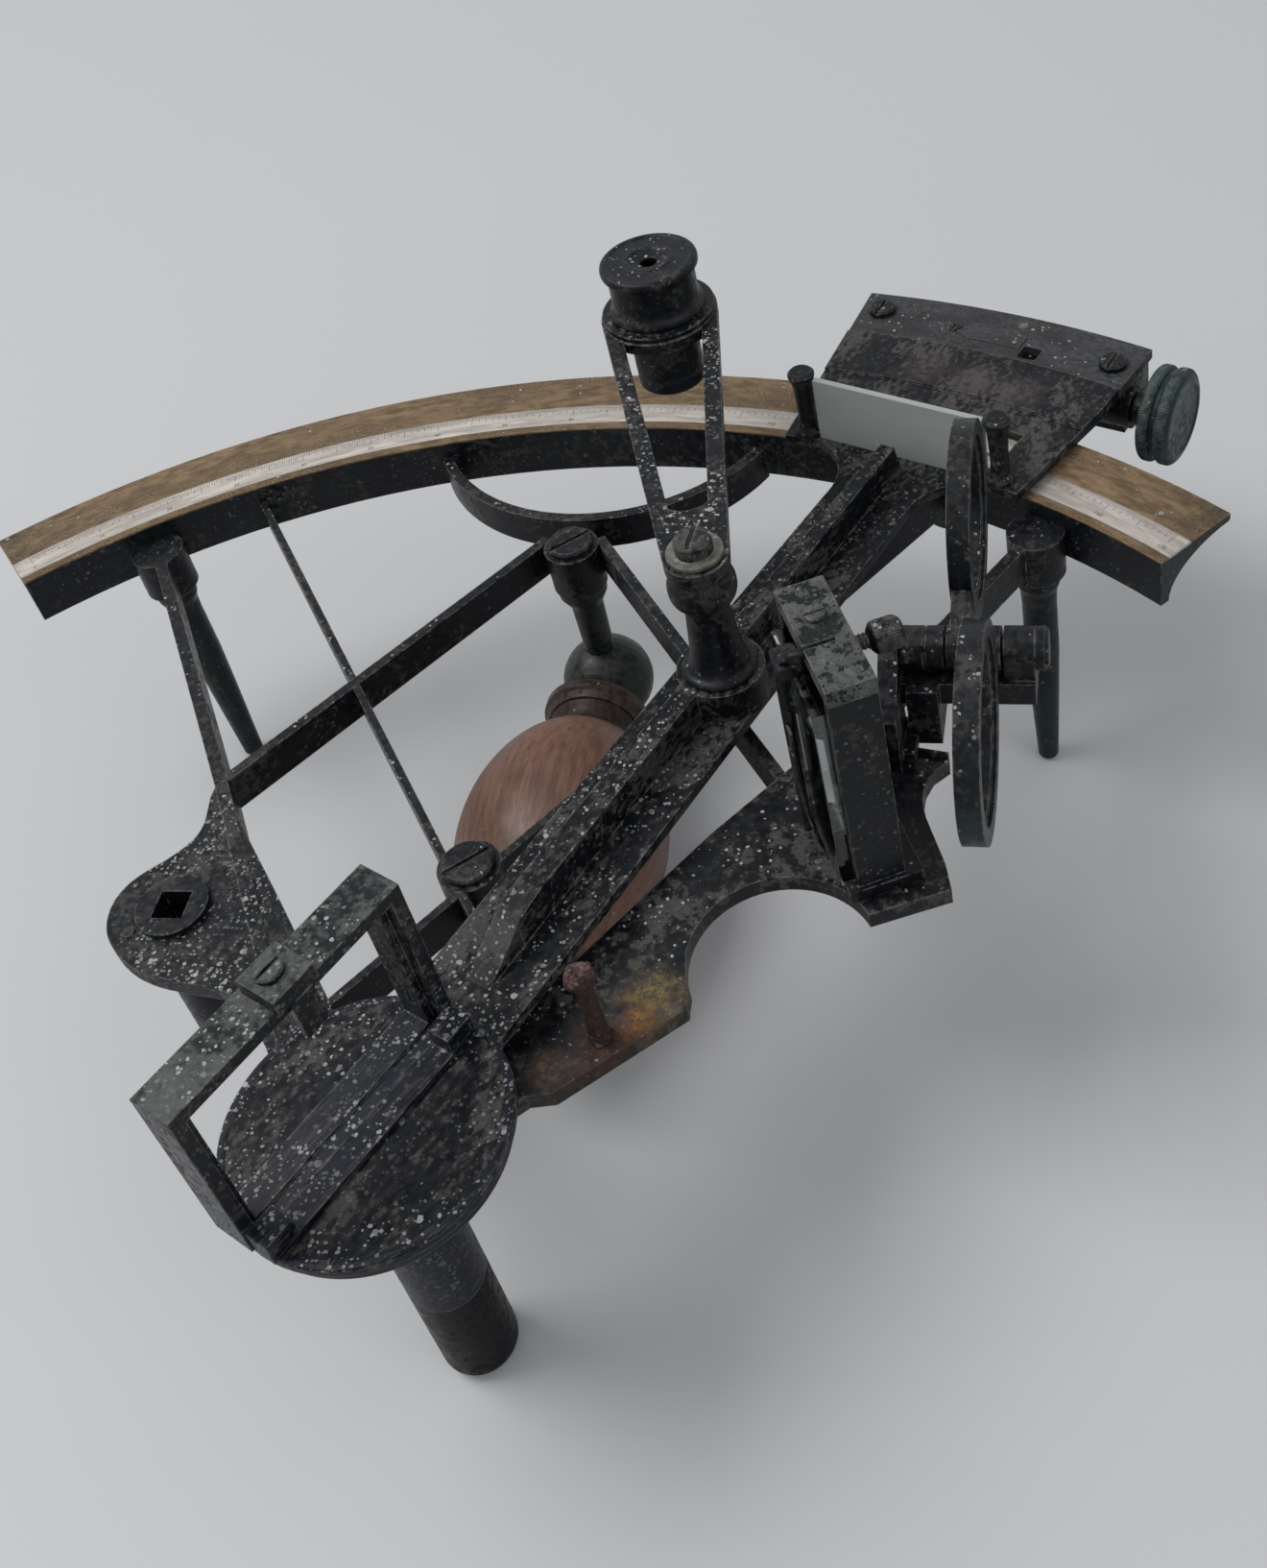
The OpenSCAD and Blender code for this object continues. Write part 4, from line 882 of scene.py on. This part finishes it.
# CAD nodes by finish; the others have the frame's
DRESS = {
    Finish.ARM: ("index_arm",),
    Finish.BLOTCHED: ("horizon_clip",),
    Finish.CLEAR_GLASS: ("horizon_glass", "lens_glass"),
    Finish.COVER: ("clamp_cover",),
    Finish.DISC: ("pivot_disc", "mirror_feet"),
    Finish.DUSTY: ("mirror_clip",),
    Finish.EAR: ("ear_plate", "magnifier_yoke"),
    Finish.FERRULE: ("lower_ferrule", "upper_handle_post"),
    Finish.SHADED_FOOT: ("pivot_foot",),
    Finish.GROUND_GLASS: ("screen_glass",),
    Finish.KNOB: ("tangent_screw",),
    Finish.LEG: ("left_leg", "right_leg"),
    Finish.LIMB: ("limb",),
    Finish.MIRROR_FRAME: ("mirror_frame",),
    Finish.RUST: ("plate_stud",),
    Finish.SILVER: ("arc_scale", "vernier"),
    Finish.STAINED_PLATE: ("lower_plate",),
    Finish.STEEL: ("handle_rod", "ear_pin", "index_axis", "axis_washer", "axis_nut", "rise_screw",
                   "horizon_rod"),
    Finish.UPPER_FERRULE: ("upper_ferrule",),
    Finish.WOOD: ("handle_grip",),
    Finish.YOKE_SCREW: ("magnifier_screw",),
}


class Slot(Enum):
    """The record's material slots, named with each new piece; nothing here reads them."""

    BRONZE = "black_bronze"
    SILVER = "silver"
    STEEL = "steel"
    RUST = "rust"
    WOOD = "wood"


class Wardrobe:
    """Makes each finish once and hands it out."""

    made: Dict[Finish, bpy.types.Material] = {}

    @classmethod
    def get(cls, finish: Finish) -> bpy.types.Material:
        """Look up a finish's material, or make it.

        Args:
            finish: The finish.

        Returns:
            Its material, the same one at each call.
        """
        if finish not in cls.made:
            cls.made[finish] = bpy.data.materials.new(finish.name.lower() + "_finish")
            finish.value.paint(Tree(cls.made[finish]))
        return cls.made[finish]


# Sub-assemblies


@dataclass
class SubAssembly:
    """Pieces that ride on one CAD body. Sizes are in millimetres and angles in degrees."""

    body: str

    def keep(self, piece: bpy.types.Object, finish: Finish, slot: Slot,
             stands_for: Sequence[str] = ()) -> None:
        """Dress a new piece, and let it ride on the body.

        Args:
            piece: The new object.
            finish: Its finish.
            slot: The record's material slot; not used.
            stands_for: CAD nodes that it replaces.
        """
        piece.data.materials.clear()
        piece.data.materials.append(Wardrobe.get(finish))
        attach(piece, self.body)
        if stands_for:
            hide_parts(*stands_for)
        LOG.info("%s rides on %s with %d faces", piece.name, self.body, len(piece.data.polygons))


@dataclass
class Scale(SubAssembly):
    """Engraved divisions and numbers on an arc about the Z axis."""

    name: str = "limb_scale"
    seat: Seat = TABLE
    level: float = LIMB_TOP
    first: float = 132.4
    last: float = 47.4
    step: float = 1.0 / 6.0
    edge_r: float = 188.45
    inward: float = 1.0
    lengths: Triple = (1.3, 2.1, 3.0)
    every: Tuple[int, int] = (3, 15)
    line: float = 0.10
    sink: float = 0.05
    rise: float = 0.012
    number_r: float = 183.3
    number_size: float = 1.35
    number_every: int = 30
    number_step: int = 10

    def lines(self) -> bpy.types.Object:
        """Make the divisions: line k stands at angle first - k step, and some are longer than the rest.

        Returns:
            One piece that holds all the lines.
        """
        short, middling, long = self.lengths
        k = np.arange(int((self.first - self.last) / self.step) + 1)
        a = np.radians(self.first - k * self.step + self.seat.turn)
        length = np.where(k % self.every[1] == 0, long, np.where(k % self.every[0] == 0, middling, short))
        middle = self.edge_r - self.inward * length / 2
        run = np.column_stack([np.cos(a), np.sin(a)])
        level = np.full(len(k), self.level + (self.rise - self.sink) / 2)
        centres = np.column_stack([run * middle[:, None], level])
        sizes = np.column_stack([length, np.full(len(k), self.line), np.full(len(k), self.rise + self.sink)])
        return box_set(self.name + "_lines", centres * MM, run, sizes * MM)

    def numbers(self) -> bpy.types.Object:
        """Make the numbers, each with its foot towards the pivot.

        Returns:
            One piece that holds all the numbers.
        """
        points: List[Array] = []
        faces: List[List[int]] = []
        offset = 0
        count = int((self.first - self.last) / self.step) // self.number_every + 1
        for k in range(count):
            curve = bpy.data.curves.new("number", "FONT")
            curve.body = str(k * self.number_step)
            curve.align_x = "CENTER"
            curve.size = self.number_size * MM
            curve.extrude = 0.5 * (self.rise + self.sink) * MM
            curve.resolution_u = 2
            text = bpy.data.objects.new("number", curve)
            shape = bpy.data.meshes.new_from_object(text)
            co = np.zeros(len(shape.vertices) * 3)
            shape.vertices.foreach_get("co", co)
            a = math.radians(self.first - k * self.number_every * self.step + self.seat.turn)
            right, up = np.array([math.sin(a), -math.cos(a), 0]), np.array([math.cos(a), math.sin(a), 0])
            co = co.reshape(-1, 3)
            base = up * self.number_r * MM
            base[2] = (self.level + 0.5 * (self.rise - self.sink)) * MM
            points.append(base + co[:, :1] * right + co[:, 1:2] * up + co[:, 2:] * np.array([0, 0, 1.0]))
            faces += [[v + offset for v in f.vertices] for f in shape.polygons]
            offset += len(co)
            bpy.data.objects.remove(text)
            bpy.data.curves.remove(curve)
            bpy.data.meshes.remove(shape)
        return mesh_object(self.name + "_numbers", np.vstack(points), faces)

    def build(self) -> None:
        """Engrave the arc."""
        self.keep(self.lines(), Finish.ENGRAVING, Slot.SILVER)
        self.keep(self.numbers(), Finish.ENGRAVING, Slot.SILVER)


@dataclass
class Magnifier(SubAssembly):
    """The magnifier's turned parts: the cap over the lens and its tube."""

    lens_x: float = 79.5
    tube_low: float = 92.8
    tube_r: float = 7.2
    bore_r: float = 6.1
    drum_low: float = 110.9
    drum_high: float = 120.3

    def build(self) -> None:
        """Make the cap and the tube with their rounded edges."""
        seat = YOKE.inner(self.lens_x, 0.0, 0.0)
        top, low, drum, bore, r = self.drum_high, self.tube_low, self.drum_low, self.bore_r, self.tube_r
        cap = [[1.7, top + 0.02], [9.9, top + 0.02], [10.25, top + 0.5], [10.3, top + 1.2],
               [10.1, top + 1.9], [9.4, top + 2.2], [8.8, top + 2.16], [8.6, top + 1.95],
               [5.3, top + 1.95], [5.1, top + 2.15], [4.4, top + 2.18], [4.1, top + 1.9],
               [2.6, top + 1.5], [1.7, top + 1.3]]
        piece = turned("eye_cap", cap, seat, cut=0.25, closed=True)
        self.keep(piece, Finish.FRAME, Slot.BRONZE, ["lens_cap"])
        tube = [[bore, low + 0.3], [r - 0.7, low], [r - 0.3, low], [r, low + 0.4], [r, low + 3.0],
                [r - 0.15, low + 3.15], [r - 0.15, low + 3.5], [r, low + 3.65], [r, drum], [10.0, drum],
                [10.1, drum + 0.5], [9.9, drum + 1.2], [9.3, drum + 2.0], [9.1, drum + 3.0],
                [9.1, top - 1.0], [9.4, top - 0.2], [9.5, top], [bore, top]]
        piece = turned("eye_tube", tube, seat, cut=0.5, closed=True)
        self.keep(piece, Finish.FRAME, Slot.BRONZE, ["lens_tube"])


@dataclass
class MagnifierPost(SubAssembly):
    """The turned post that carries the magnifier's yoke."""

    low: float = 81.8
    high: float = 107.0

    def build(self) -> None:
        """Make the post from its spigot to the pin that the yoke turns on."""
        top = self.high - self.low
        profile = [[0, -5], [2.5, -5], [2.5, 0.01], [7, 0.01], [7.3, 0.5], [7.0, 1.2], [6.0, 1.7],
                   [5.5, 2.6], [5.0, 5], [4.6, 9], [4.15, top - 10.5], [4.3, top - 9], [5.0, top - 8],
                   [5.9, top - 7], [6.35, top - 5.6], [6.35, top - 3.6], [5.9, top - 2.2],
                   [5.5, top - 1.4], [5.4, top - 0.35], [1.5, top - 0.35], [1.5, top + 3.2],
                   [0, top + 3.2]]
        piece = turned("yoke_post", profile, ARM.inner(103.0, -2.2, self.low), cut=0.8)
        self.keep(piece, Finish.FRAME, Slot.BRONZE, ["magnifier_post"])


@dataclass
class TangentScrew(SubAssembly):
    """The tangent screw: shaft, collar and a head with two milled rims."""

    x: float = 219.5
    z: float = 67.0
    head_r: float = 10.8
    head: float = 38.4
    shaft_r: float = 2.2

    def build(self) -> None:
        """Make the screw along the arm's -Y direction."""
        h, r, shaft = self.head, self.head_r, self.shaft_r
        profile = [[0, -8, 0], [shaft - 0.4, -8, 0], [shaft, -7.5, 0], [shaft, 35.1, 0],
                   [3.6, 35.12, 0], [3.6, h - 1.2, 0], [5.6, h, 0], [r - 2.0, h + 0.02, 0],
                   [r - 0.4, h + 0.5, 1], [r, h + 1.0, 1], [r, h + 2.5, 1], [r - 0.6, h + 3.1, 1],
                   [r - 1.25, h + 3.3, 0], [r - 1.25, h + 4.0, 0], [r - 0.6, h + 4.2, 1],
                   [r, h + 4.7, 1], [r, h + 6.4, 1], [r - 0.5, h + 7.0, 1], [r - 1.5, h + 7.5, 0],
                   [r - 2.6, h + 7.6, 0], [r - 3.0, h + 7.35, 0], [r - 6.4, h + 7.2, 0], [0, h + 7.3, 0]]
        piece = turned("tangent_head", profile, ARM.inner(self.x, 0.0, self.z), Along.BACK_Y, 0.3,
                       sides=480, teeth=120, depth=0.16)
        self.keep(piece, Finish.KNOB, Slot.BRONZE, ["tangent_screw"])


@dataclass
class HorizonGlass(SubAssembly):
    """The small pieces on the horizon glass's holder: spring hook and two loose leaves."""

    depth: float = 8.5
    top: float = 114.4
    shaded_foot: float = 70.5
    # Each leaf's bow, shift along Y, length and width
    leaves: Tuple[Tuple[float, ...], ...] = ((1.9, -2.6, 25.0, 3.0), (1.1, 0.4, 27.0, 3.4))

    def path(self, rows: Sequence[Sequence[float]]) -> Array:
        """Smooth a few points into a path.

        Each coordinate is a cubic spline's blend p(t) of its four neighbours, sampled evenly.

        Args:
            rows: Points in the holder's directions, in millimetres.

        Returns:
            Array of shape (PATH_POINTS, 3) in metres.
        """
        p = np.asarray(rows, float)
        p = np.vstack([2 * p[0] - p[1], p, 2 * p[-1] - p[-2]])
        t = np.linspace(1, len(p) - 2 - 1e-9, PATH_POINTS)
        i = t.astype(int)
        u = (t - i)[:, None]
        a, b, c, d = p[i - 1], p[i], p[i + 1], p[np.minimum(i + 2, len(p) - 1)]
        curve = 0.5 * (2 * b + u * (c - a) + u ** 2 * (2 * a - 5 * b + 4 * c - d)
                       + u ** 3 * (3 * b - a - 3 * c + d))
        return HORIZON.out(curve)

    def build(self) -> None:
        """Make the hook and the leaves."""
        across = HORIZON.out(np.array([[0.0, 1.0, 0.0]]))[0] - HORIZON.out(np.zeros((1, 3)))[0]
        across /= np.linalg.norm(across)
        x, top = -self.depth / 2, self.top
        path = self.path([[x + 2.6, -2.0, top + 2.0], [x - 0.5, -2.0, top + 2.3], [x - 2.6, -0.8, top + 1.3],
                          [x - 3.6, 1.6, top - 3], [x - 3.7, 2.8, top - 14], [x - 3.7, 3.0, self.shaded_foot]])
        hook = swept_strip("hook_rod", path, across, np.full(PATH_POINTS, 1.7 * MM), 1.6 * MM)
        self.keep(hook, Finish.FRAME, Slot.STEEL, ["horizon_rod"])
        middle = HORIZON.out(np.array([[x - 2.2, 1.2, top - 1.6]]))
        way, size = np.array([[-across[1], across[0]]]), np.array([[4.4, 5.6, 2.8]]) * MM
        lug = box_set("hook_lug", middle, way, size, 0.4)
        self.keep(lug, Finish.FRAME, Slot.BRONZE)
        low = self.shaded_foot + 0.6
        for number, (bow, shift, length, wide) in enumerate(self.leaves, start=1):
            path = self.path([[x - 2.9, shift - 1.5, low],
                              [x - 3.1 - 0.6 * bow, shift - 0.9, low + 0.3 * length],
                              [x - 3.1 - bow, shift, low + 0.7 * length],
                              [x - 3.0 - bow, shift + 0.6, low + length]])
            width = np.linspace(1.4 * wide, wide, PATH_POINTS) * MM
            leaf = swept_strip("spring_leaf_%d" % number, path, across, width, 0.45 * MM)
            self.keep(leaf, Finish.DUSTY, Slot.STEEL)


@dataclass
class HorizonAdjuster(SubAssembly):
    """The screw that adjusts the horizon glass, with a thread and a domed milled head."""

    y: float = 2.6
    z: float = 110.4
    head_r: float = 2.9
    shaft_r: float = 1.5

    def build(self) -> None:
        """Make the threaded shaft and its head."""
        seat, r = HORIZON.inner(0.0, self.y, self.z), self.head_r
        thread = screw_thread("adjuster_thread", self.shaft_r, 0.7, 0.22, 1.0, 8.6, seat, Along.X)
        self.keep(thread, Finish.STEEL, Slot.STEEL)
        profile = [[0, 7.6, 0], [1.6, 7.6, 0], [2.2, 8.0, 0], [r - 0.1, 8.5, 1], [r, 9.0, 1],
                   [r, 12.2, 1], [r - 0.3, 12.9, 1], [2.0, 13.5, 0], [0, 13.6, 0]]
        head = turned("adjuster_head", profile, seat, Along.X, 0.3, sides=144, teeth=36, depth=0.16)
        self.keep(head, Finish.FRAME, Slot.BRONZE, ["horizon_adjuster"])


@dataclass
class Disc(SubAssembly):
    """The raised lip round the disc under the index glass."""

    radius: float = 23.8

    def build(self) -> None:
        """Make the lip."""
        r, z = self.radius, ARM_TOP
        lip = [[r - 1.5, z - 0.3], [r - 1.5, z + 0.16], [r - 0.5, z + 0.20], [r - 0.05, z + 0.02],
               [r - 0.05, z - 0.3]]
        piece = turned("disc_lip", lip, TABLE, cut=0.25, closed=True, sides=160)
        self.keep(piece, Finish.DISC, Slot.BRONZE)


@dataclass
class Grip(SubAssembly):
    """The wooden grip with its full belly, and the dark neck between it and the bead."""

    z: float = 27.0
    low: float = 66.0
    high: float = 128.0
    neck: float = 5.5
    end_r: float = 9.0
    belly_r: float = 22.4
    bore_r: float = 3.0

    def build(self) -> None:
        """Make the grip, whose radius is r = a + (b - a) (1 - s^2)^0.7 with s from -1 to 1 along the axis."""
        seat, top, end = Seat((0.0, 0.0, self.z)), self.high - self.neck, self.end_r
        s = np.linspace(-1, 1, 49)
        radius = end + (self.belly_r - end) * (1 - s ** 2) ** 0.7
        radius[-1] = end + 0.9
        along = self.low + (top - self.low) * (s + 1) / 2
        profile = np.vstack([[0, self.low], np.column_stack([radius, along]), [0, top]])
        wood = turned("grip_wood", profile, seat, Along.Y, 0.3, sides=128)
        self.keep(wood, Finish.WOOD, Slot.WOOD, ["handle_grip"])
        ring = [[self.bore_r, top - 0.2], [end + 0.1, top - 0.2], [end - 0.4, top + 1.6],
                [end - 0.1, top + 3.4], [end + 1.3, self.high], [self.bore_r, self.high]]
        neck = turned("grip_neck", ring, seat, Along.Y, 0.8, closed=True)
        self.keep(neck, Finish.BEAD, Slot.BRONZE)


@dataclass
class PlateCorner(SubAssembly):
    """The lower plate's corner, where the bay's edge runs on to the plate's lower edge."""

    top: float = 67.79
    thick: float = 3.48
    outline: Tuple[Tuple[float, float], ...] = (
        (42.6, 25.4), (45.55, 27.98), (45.34, 29.8), (45.31, 31.72), (45.2, 32.1), (42.6, 32.4), (42.3, 25.6))

    def build(self) -> None:
        """Make the corner as a flat prism, let 0.3 mm into the plate."""
        count = len(self.outline)
        levels = (self.top - self.thick, self.top)
        points = np.vstack([np.column_stack([self.outline, np.full(count, z)]) for z in levels])
        faces = grid_faces(2, count, False, True).tolist()
        faces += [list(range(count)), list(range(count, 2 * count))]
        self.keep(mesh_object("plate_corner", points * MM, faces), Finish.STAINED_PLATE, Slot.BRONZE)


@dataclass
class RustyStud(SubAssembly):
    """The stud on the lower plate, swollen with rust."""

    x: float = 32.2
    y: float = 21.9
    low: float = 63.3
    high: float = 86.0

    def build(self) -> None:
        """Make the stud with its lumpy shank and head."""
        h = self.high - self.low
        profile = [[0, 0], [1.5, 0], [1.5, 4.3], [2.3, 4.6], [1.9, 5.4], [1.6, 7], [1.5, 12],
                   [1.45, h - 4.0], [1.8, h - 3.0], [2.6, h - 2.4], [2.75, h - 1.4], [2.3, h - 0.5],
                   [1.2, h - 0.1], [0, h - 0.25]]
        piece = turned("rusty_stud", profile, Seat((self.x, self.y, self.low)), cut=0.6, sides=72, lump=0.22)
        self.keep(piece, Finish.RUST, Slot.RUST, ["plate_stud"])


@dataclass
class MilledScrew(SubAssembly):
    """A screw with a milled head below, that stands where the CAD node of its body's name stands."""

    x: float
    y: float
    head_r: float
    head_h: float
    shaft_r: float

    def build(self) -> None:
        """Make the screw from its node's height."""
        low, high = (corner.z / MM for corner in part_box(self.body))
        r, h, top, shaft = self.head_r, self.head_h, high - low, self.shaft_r
        profile = [[0, 0.5, 0], [r - 2.2, 0.4, 0], [r - 1.8, 0, 0], [r - 0.7, 0, 0], [r - 0.1, 0.5, 1],
                   [r, 1.0, 1], [r, h - 1.0, 1], [r - 0.1, h - 0.5, 1], [r - 0.7, h, 0],
                   [shaft + 0.5, h, 0], [shaft, h + 0.4, 0], [shaft, top, 0], [0, top, 0]]
        seat = Seat((self.x, self.y, low))
        piece = turned(self.body + "_head", profile, seat, cut=0.25, sides=288, teeth=72, depth=0.18)
        self.keep(piece, Finish.KNOB, Slot.STEEL, [self.body])


@dataclass
class CoverLeaf(SubAssembly):
    """The flat spring and the pin head on the clamp's cover."""

    radius: float = 223.2
    start: float = 2.55
    stop: float = -1.62
    pin_r: float = 229.4
    pin_turn: float = -0.9

    def build(self) -> None:
        """Make the leaf along its arc, and the pin head beside the slot."""
        a = np.radians(np.linspace(self.start, self.stop, PATH_POINTS))
        level = np.full(PATH_POINTS, ARM_TOP + 0.05)
        arc = np.column_stack([self.radius * np.cos(a), self.radius * np.sin(a), level])
        across = ARM.out(np.array([[1.0, 0.0, 0.0]]))[0] / MM
        width = 4.4 * np.minimum(1.0, 0.35 + np.linspace(0, 3.2, PATH_POINTS)) * MM
        leaf = swept_strip("cover_leaf", ARM.out(arc), across, width, 0.6 * MM)
        self.keep(leaf, Finish.COVER, Slot.STEEL)
        b = math.radians(self.pin_turn)
        seat = ARM.inner(self.pin_r * math.cos(b), self.pin_r * math.sin(b), ARM_TOP)
        pin = [[0, -0.5], [1.15, -0.5], [1.15, 0.1], [0.9, 0.32], [0, 0.36]]
        self.keep(turned("cover_pin", pin, seat, cut=0.15, sides=32), Finish.WASHER, Slot.STEEL)


# The studio


def hang(name: str, data: bpy.types.ID, axes: Array, eye: Array) -> bpy.types.Object:
    """Put a camera or a lamp in the scene.

    Args:
        name: Name of the object.
        data: Its camera or light.
        axes: Array of shape (3, 3): its right, up and backward directions, one a row.
        eye: Its place in metres.

    Returns:
        The new object.
    """
    made = bpy.data.objects.new(name, data)
    pose = np.eye(4)
    pose[:3] = np.column_stack([*axes, eye])
    made.matrix_world = Matrix(pose.tolist())
    bpy.context.scene.collection.objects.link(made)
    return made


@dataclass(frozen=True)
class Studio:
    """Floor, lamps and the camera that the photograph was taken with.

    For an image of size pixels, the focal length and the centre are in pixels. The turn is a rotation
    vector. The shift is where the camera finds the arm's axis at the limb's level, in units of unit.
    """

    focal: float = 1872.137
    size: Tuple[int, int] = (1320, 1633)
    centre: Tuple[float, float] = (765.75, 597.97)
    turn: Triple = (2.29925286, 0.0897831562, -0.256106028)
    shift: Triple = (-0.317925473, 0.488587911, 1.56875232)
    unit: float = 0.18
    sensor: float = 36.0
    aim: Triple = (0.0, 0.1, 0.05)
    floor_tone: float = 0.44
    floor_side: float = 12.0
    floor_drop: float = 0.0002
    room_tone: Triple = (0.93, 0.96, 1.0)
    room_strength: float = 0.68
    background: Triple = (0.62, 0.63, 0.645)

    def camera(self) -> None:
        """Place the camera: a world point p is seen at focal (R (p - o) / unit + shift)."""
        turn = np.array(self.turn)
        angle = float(np.linalg.norm(turn))
        x, y, z = turn / angle
        cross = np.array([[0, -z, y], [z, 0, -x], [-y, x, 0]])
        r = np.eye(3) + math.sin(angle) * cross + (1 - math.cos(angle)) * cross @ cross
        eye = np.array([0, 0, LIMB_TOP * MM]) - self.unit * r.T @ np.array(self.shift)
        data = bpy.data.cameras.new("camera")
        long_side = max(self.size)
        data.sensor_width = self.sensor
        data.lens = self.sensor * self.focal / long_side
        data.shift_x = (self.size[0] / 2 - self.centre[0]) / long_side
        data.shift_y = (self.centre[1] - self.size[1] / 2) / long_side
        data.clip_start, data.clip_end = 0.01, 50.0
        bpy.context.scene.camera = hang("camera", data, r * np.array([[1], [-1], [-1]]), eye)

    def floor(self) -> None:
        """Lay a pale floor with faint clouds, just below the feet."""
        side, tone = self.floor_side, self.floor_tone
        points = np.array([[-side, -side, 0], [side, -side, 0], [side, side, 0], [-side, side, 0]])
        mesh = bpy.data.meshes.new("floor")
        mesh.from_pydata((points - [0, 0, self.floor_drop]).tolist(), [], [[0, 1, 2, 3]])
        made = bpy.data.objects.new("floor", mesh)
        bpy.context.scene.collection.objects.link(made)
        tree = Tree(bpy.data.materials.new("floor_finish"))
        tones = [(tone * share, tone * share, tone * (share + 0.005)) for share in (0.98, 1.02)]
        tree.shader(Base_Color=tree.blend(tree.noise(tree.place(), 3.0, 3.0, 0.5), *tones), Roughness=0.6)
        mesh.materials.append(tree.holder)

    def lamp(self, name: str, place: Triple, power: float, side: float) -> None:
        """Hang a square soft lamp that points at aim.

        Args:
            name: Name of the lamp.
            place: Its place in metres.
            power: Its power in watts.
            side: Its side in metres.
        """
        data = bpy.data.lights.new(name, "AREA")
        data.shape = "SQUARE"
        data.size = side
        data.energy = power
        eye, target = np.array(place), np.array(self.aim)
        back = (eye - target) / np.linalg.norm(eye - target)
        right = np.cross([0.0, 1.0, 0.02], back)
        right /= np.linalg.norm(right)
        hang(name, data, np.array([right, np.cross(back, right), back]), eye)

    def room(self) -> None:
        """Give a dim even light, and a pale background to the camera, to gloss and to glass."""
        world = bpy.data.worlds.new("room")
        bpy.context.scene.world = world
        tree = Tree(world)
        rays = tree.node("ShaderNodeLightPath", {}).outputs
        seen = tree.math("MAXIMUM", rays["Is Camera Ray"], rays["Is Glossy Ray"])
        seen = tree.math("MAXIMUM", seen, rays["Is Transmission Ray"])
        glow = tree.node("ShaderNodeBackground", {"Color": self.room_tone, "Strength": self.room_strength})
        pale = tree.node("ShaderNodeBackground", {"Color": self.background, "Strength": 1.0})
        mix = tree.node("ShaderNodeMixShader", {0: seen, 1: glow.outputs[0], 2: pale.outputs[0]})
        tree.node("ShaderNodeOutputWorld", {"Surface": mix.outputs[0]})

    def build(self) -> None:
        """Set up the whole studio."""
        bpy.context.scene.view_settings.view_transform = "Standard"
        self.camera()
        self.floor()
        self.room()
        self.lamp("key_lamp", (-0.95, 0.05, 1.65), 23.0, 1.0)
        self.lamp("fill_lamp", (1.2, -0.6, 1.2), 4.0, 0.9)


def dress_nodes() -> None:
    """Give every CAD node that shows its finish."""
    chosen = {node: finish for finish, nodes in DRESS.items() for node in nodes}
    for name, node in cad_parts.items():
        for slot in node.material_slots:
            slot.material = Wardrobe.get(chosen.get(name, Finish.FRAME))


def main() -> None:
    """Build the studio and every sub-assembly, in order."""
    logging.basicConfig(level=logging.INFO, format="%(name)s: %(message)s")
    Studio().build()
    dress_nodes()
    vernier = Scale(
        "index_arm", name="vernier_scale", seat=ARM, level=72.78, first=5.9, last=-5.9, step=11.8 / 60,
        edge_r=188.9, inward=-1.0, lengths=(1.2, 1.8, 2.4), every=(5, 10), number_r=191.6,
        number_every=10, number_step=1, number_size=1.3)
    parts = (
        Scale("frame"), vernier, Magnifier("lens"), MagnifierPost("index_arm"),
        TangentScrew("tangent_screw"), HorizonGlass("frame"), HorizonAdjuster("horizon_adjuster"),
        Disc("index_arm"), Grip("frame"), PlateCorner("frame"), RustyStud("frame"), CoverLeaf("clamp"),
        MilledScrew("rise_screw", -54.5, 45.7, 5.6, 5.0, 1.9),
        MilledScrew("clamp_screw", 79.1837, 180.3855, 7.0, 7.0, 2.5))
    for part in parts:
        part.build()


if __name__ == "__main__":
    main()
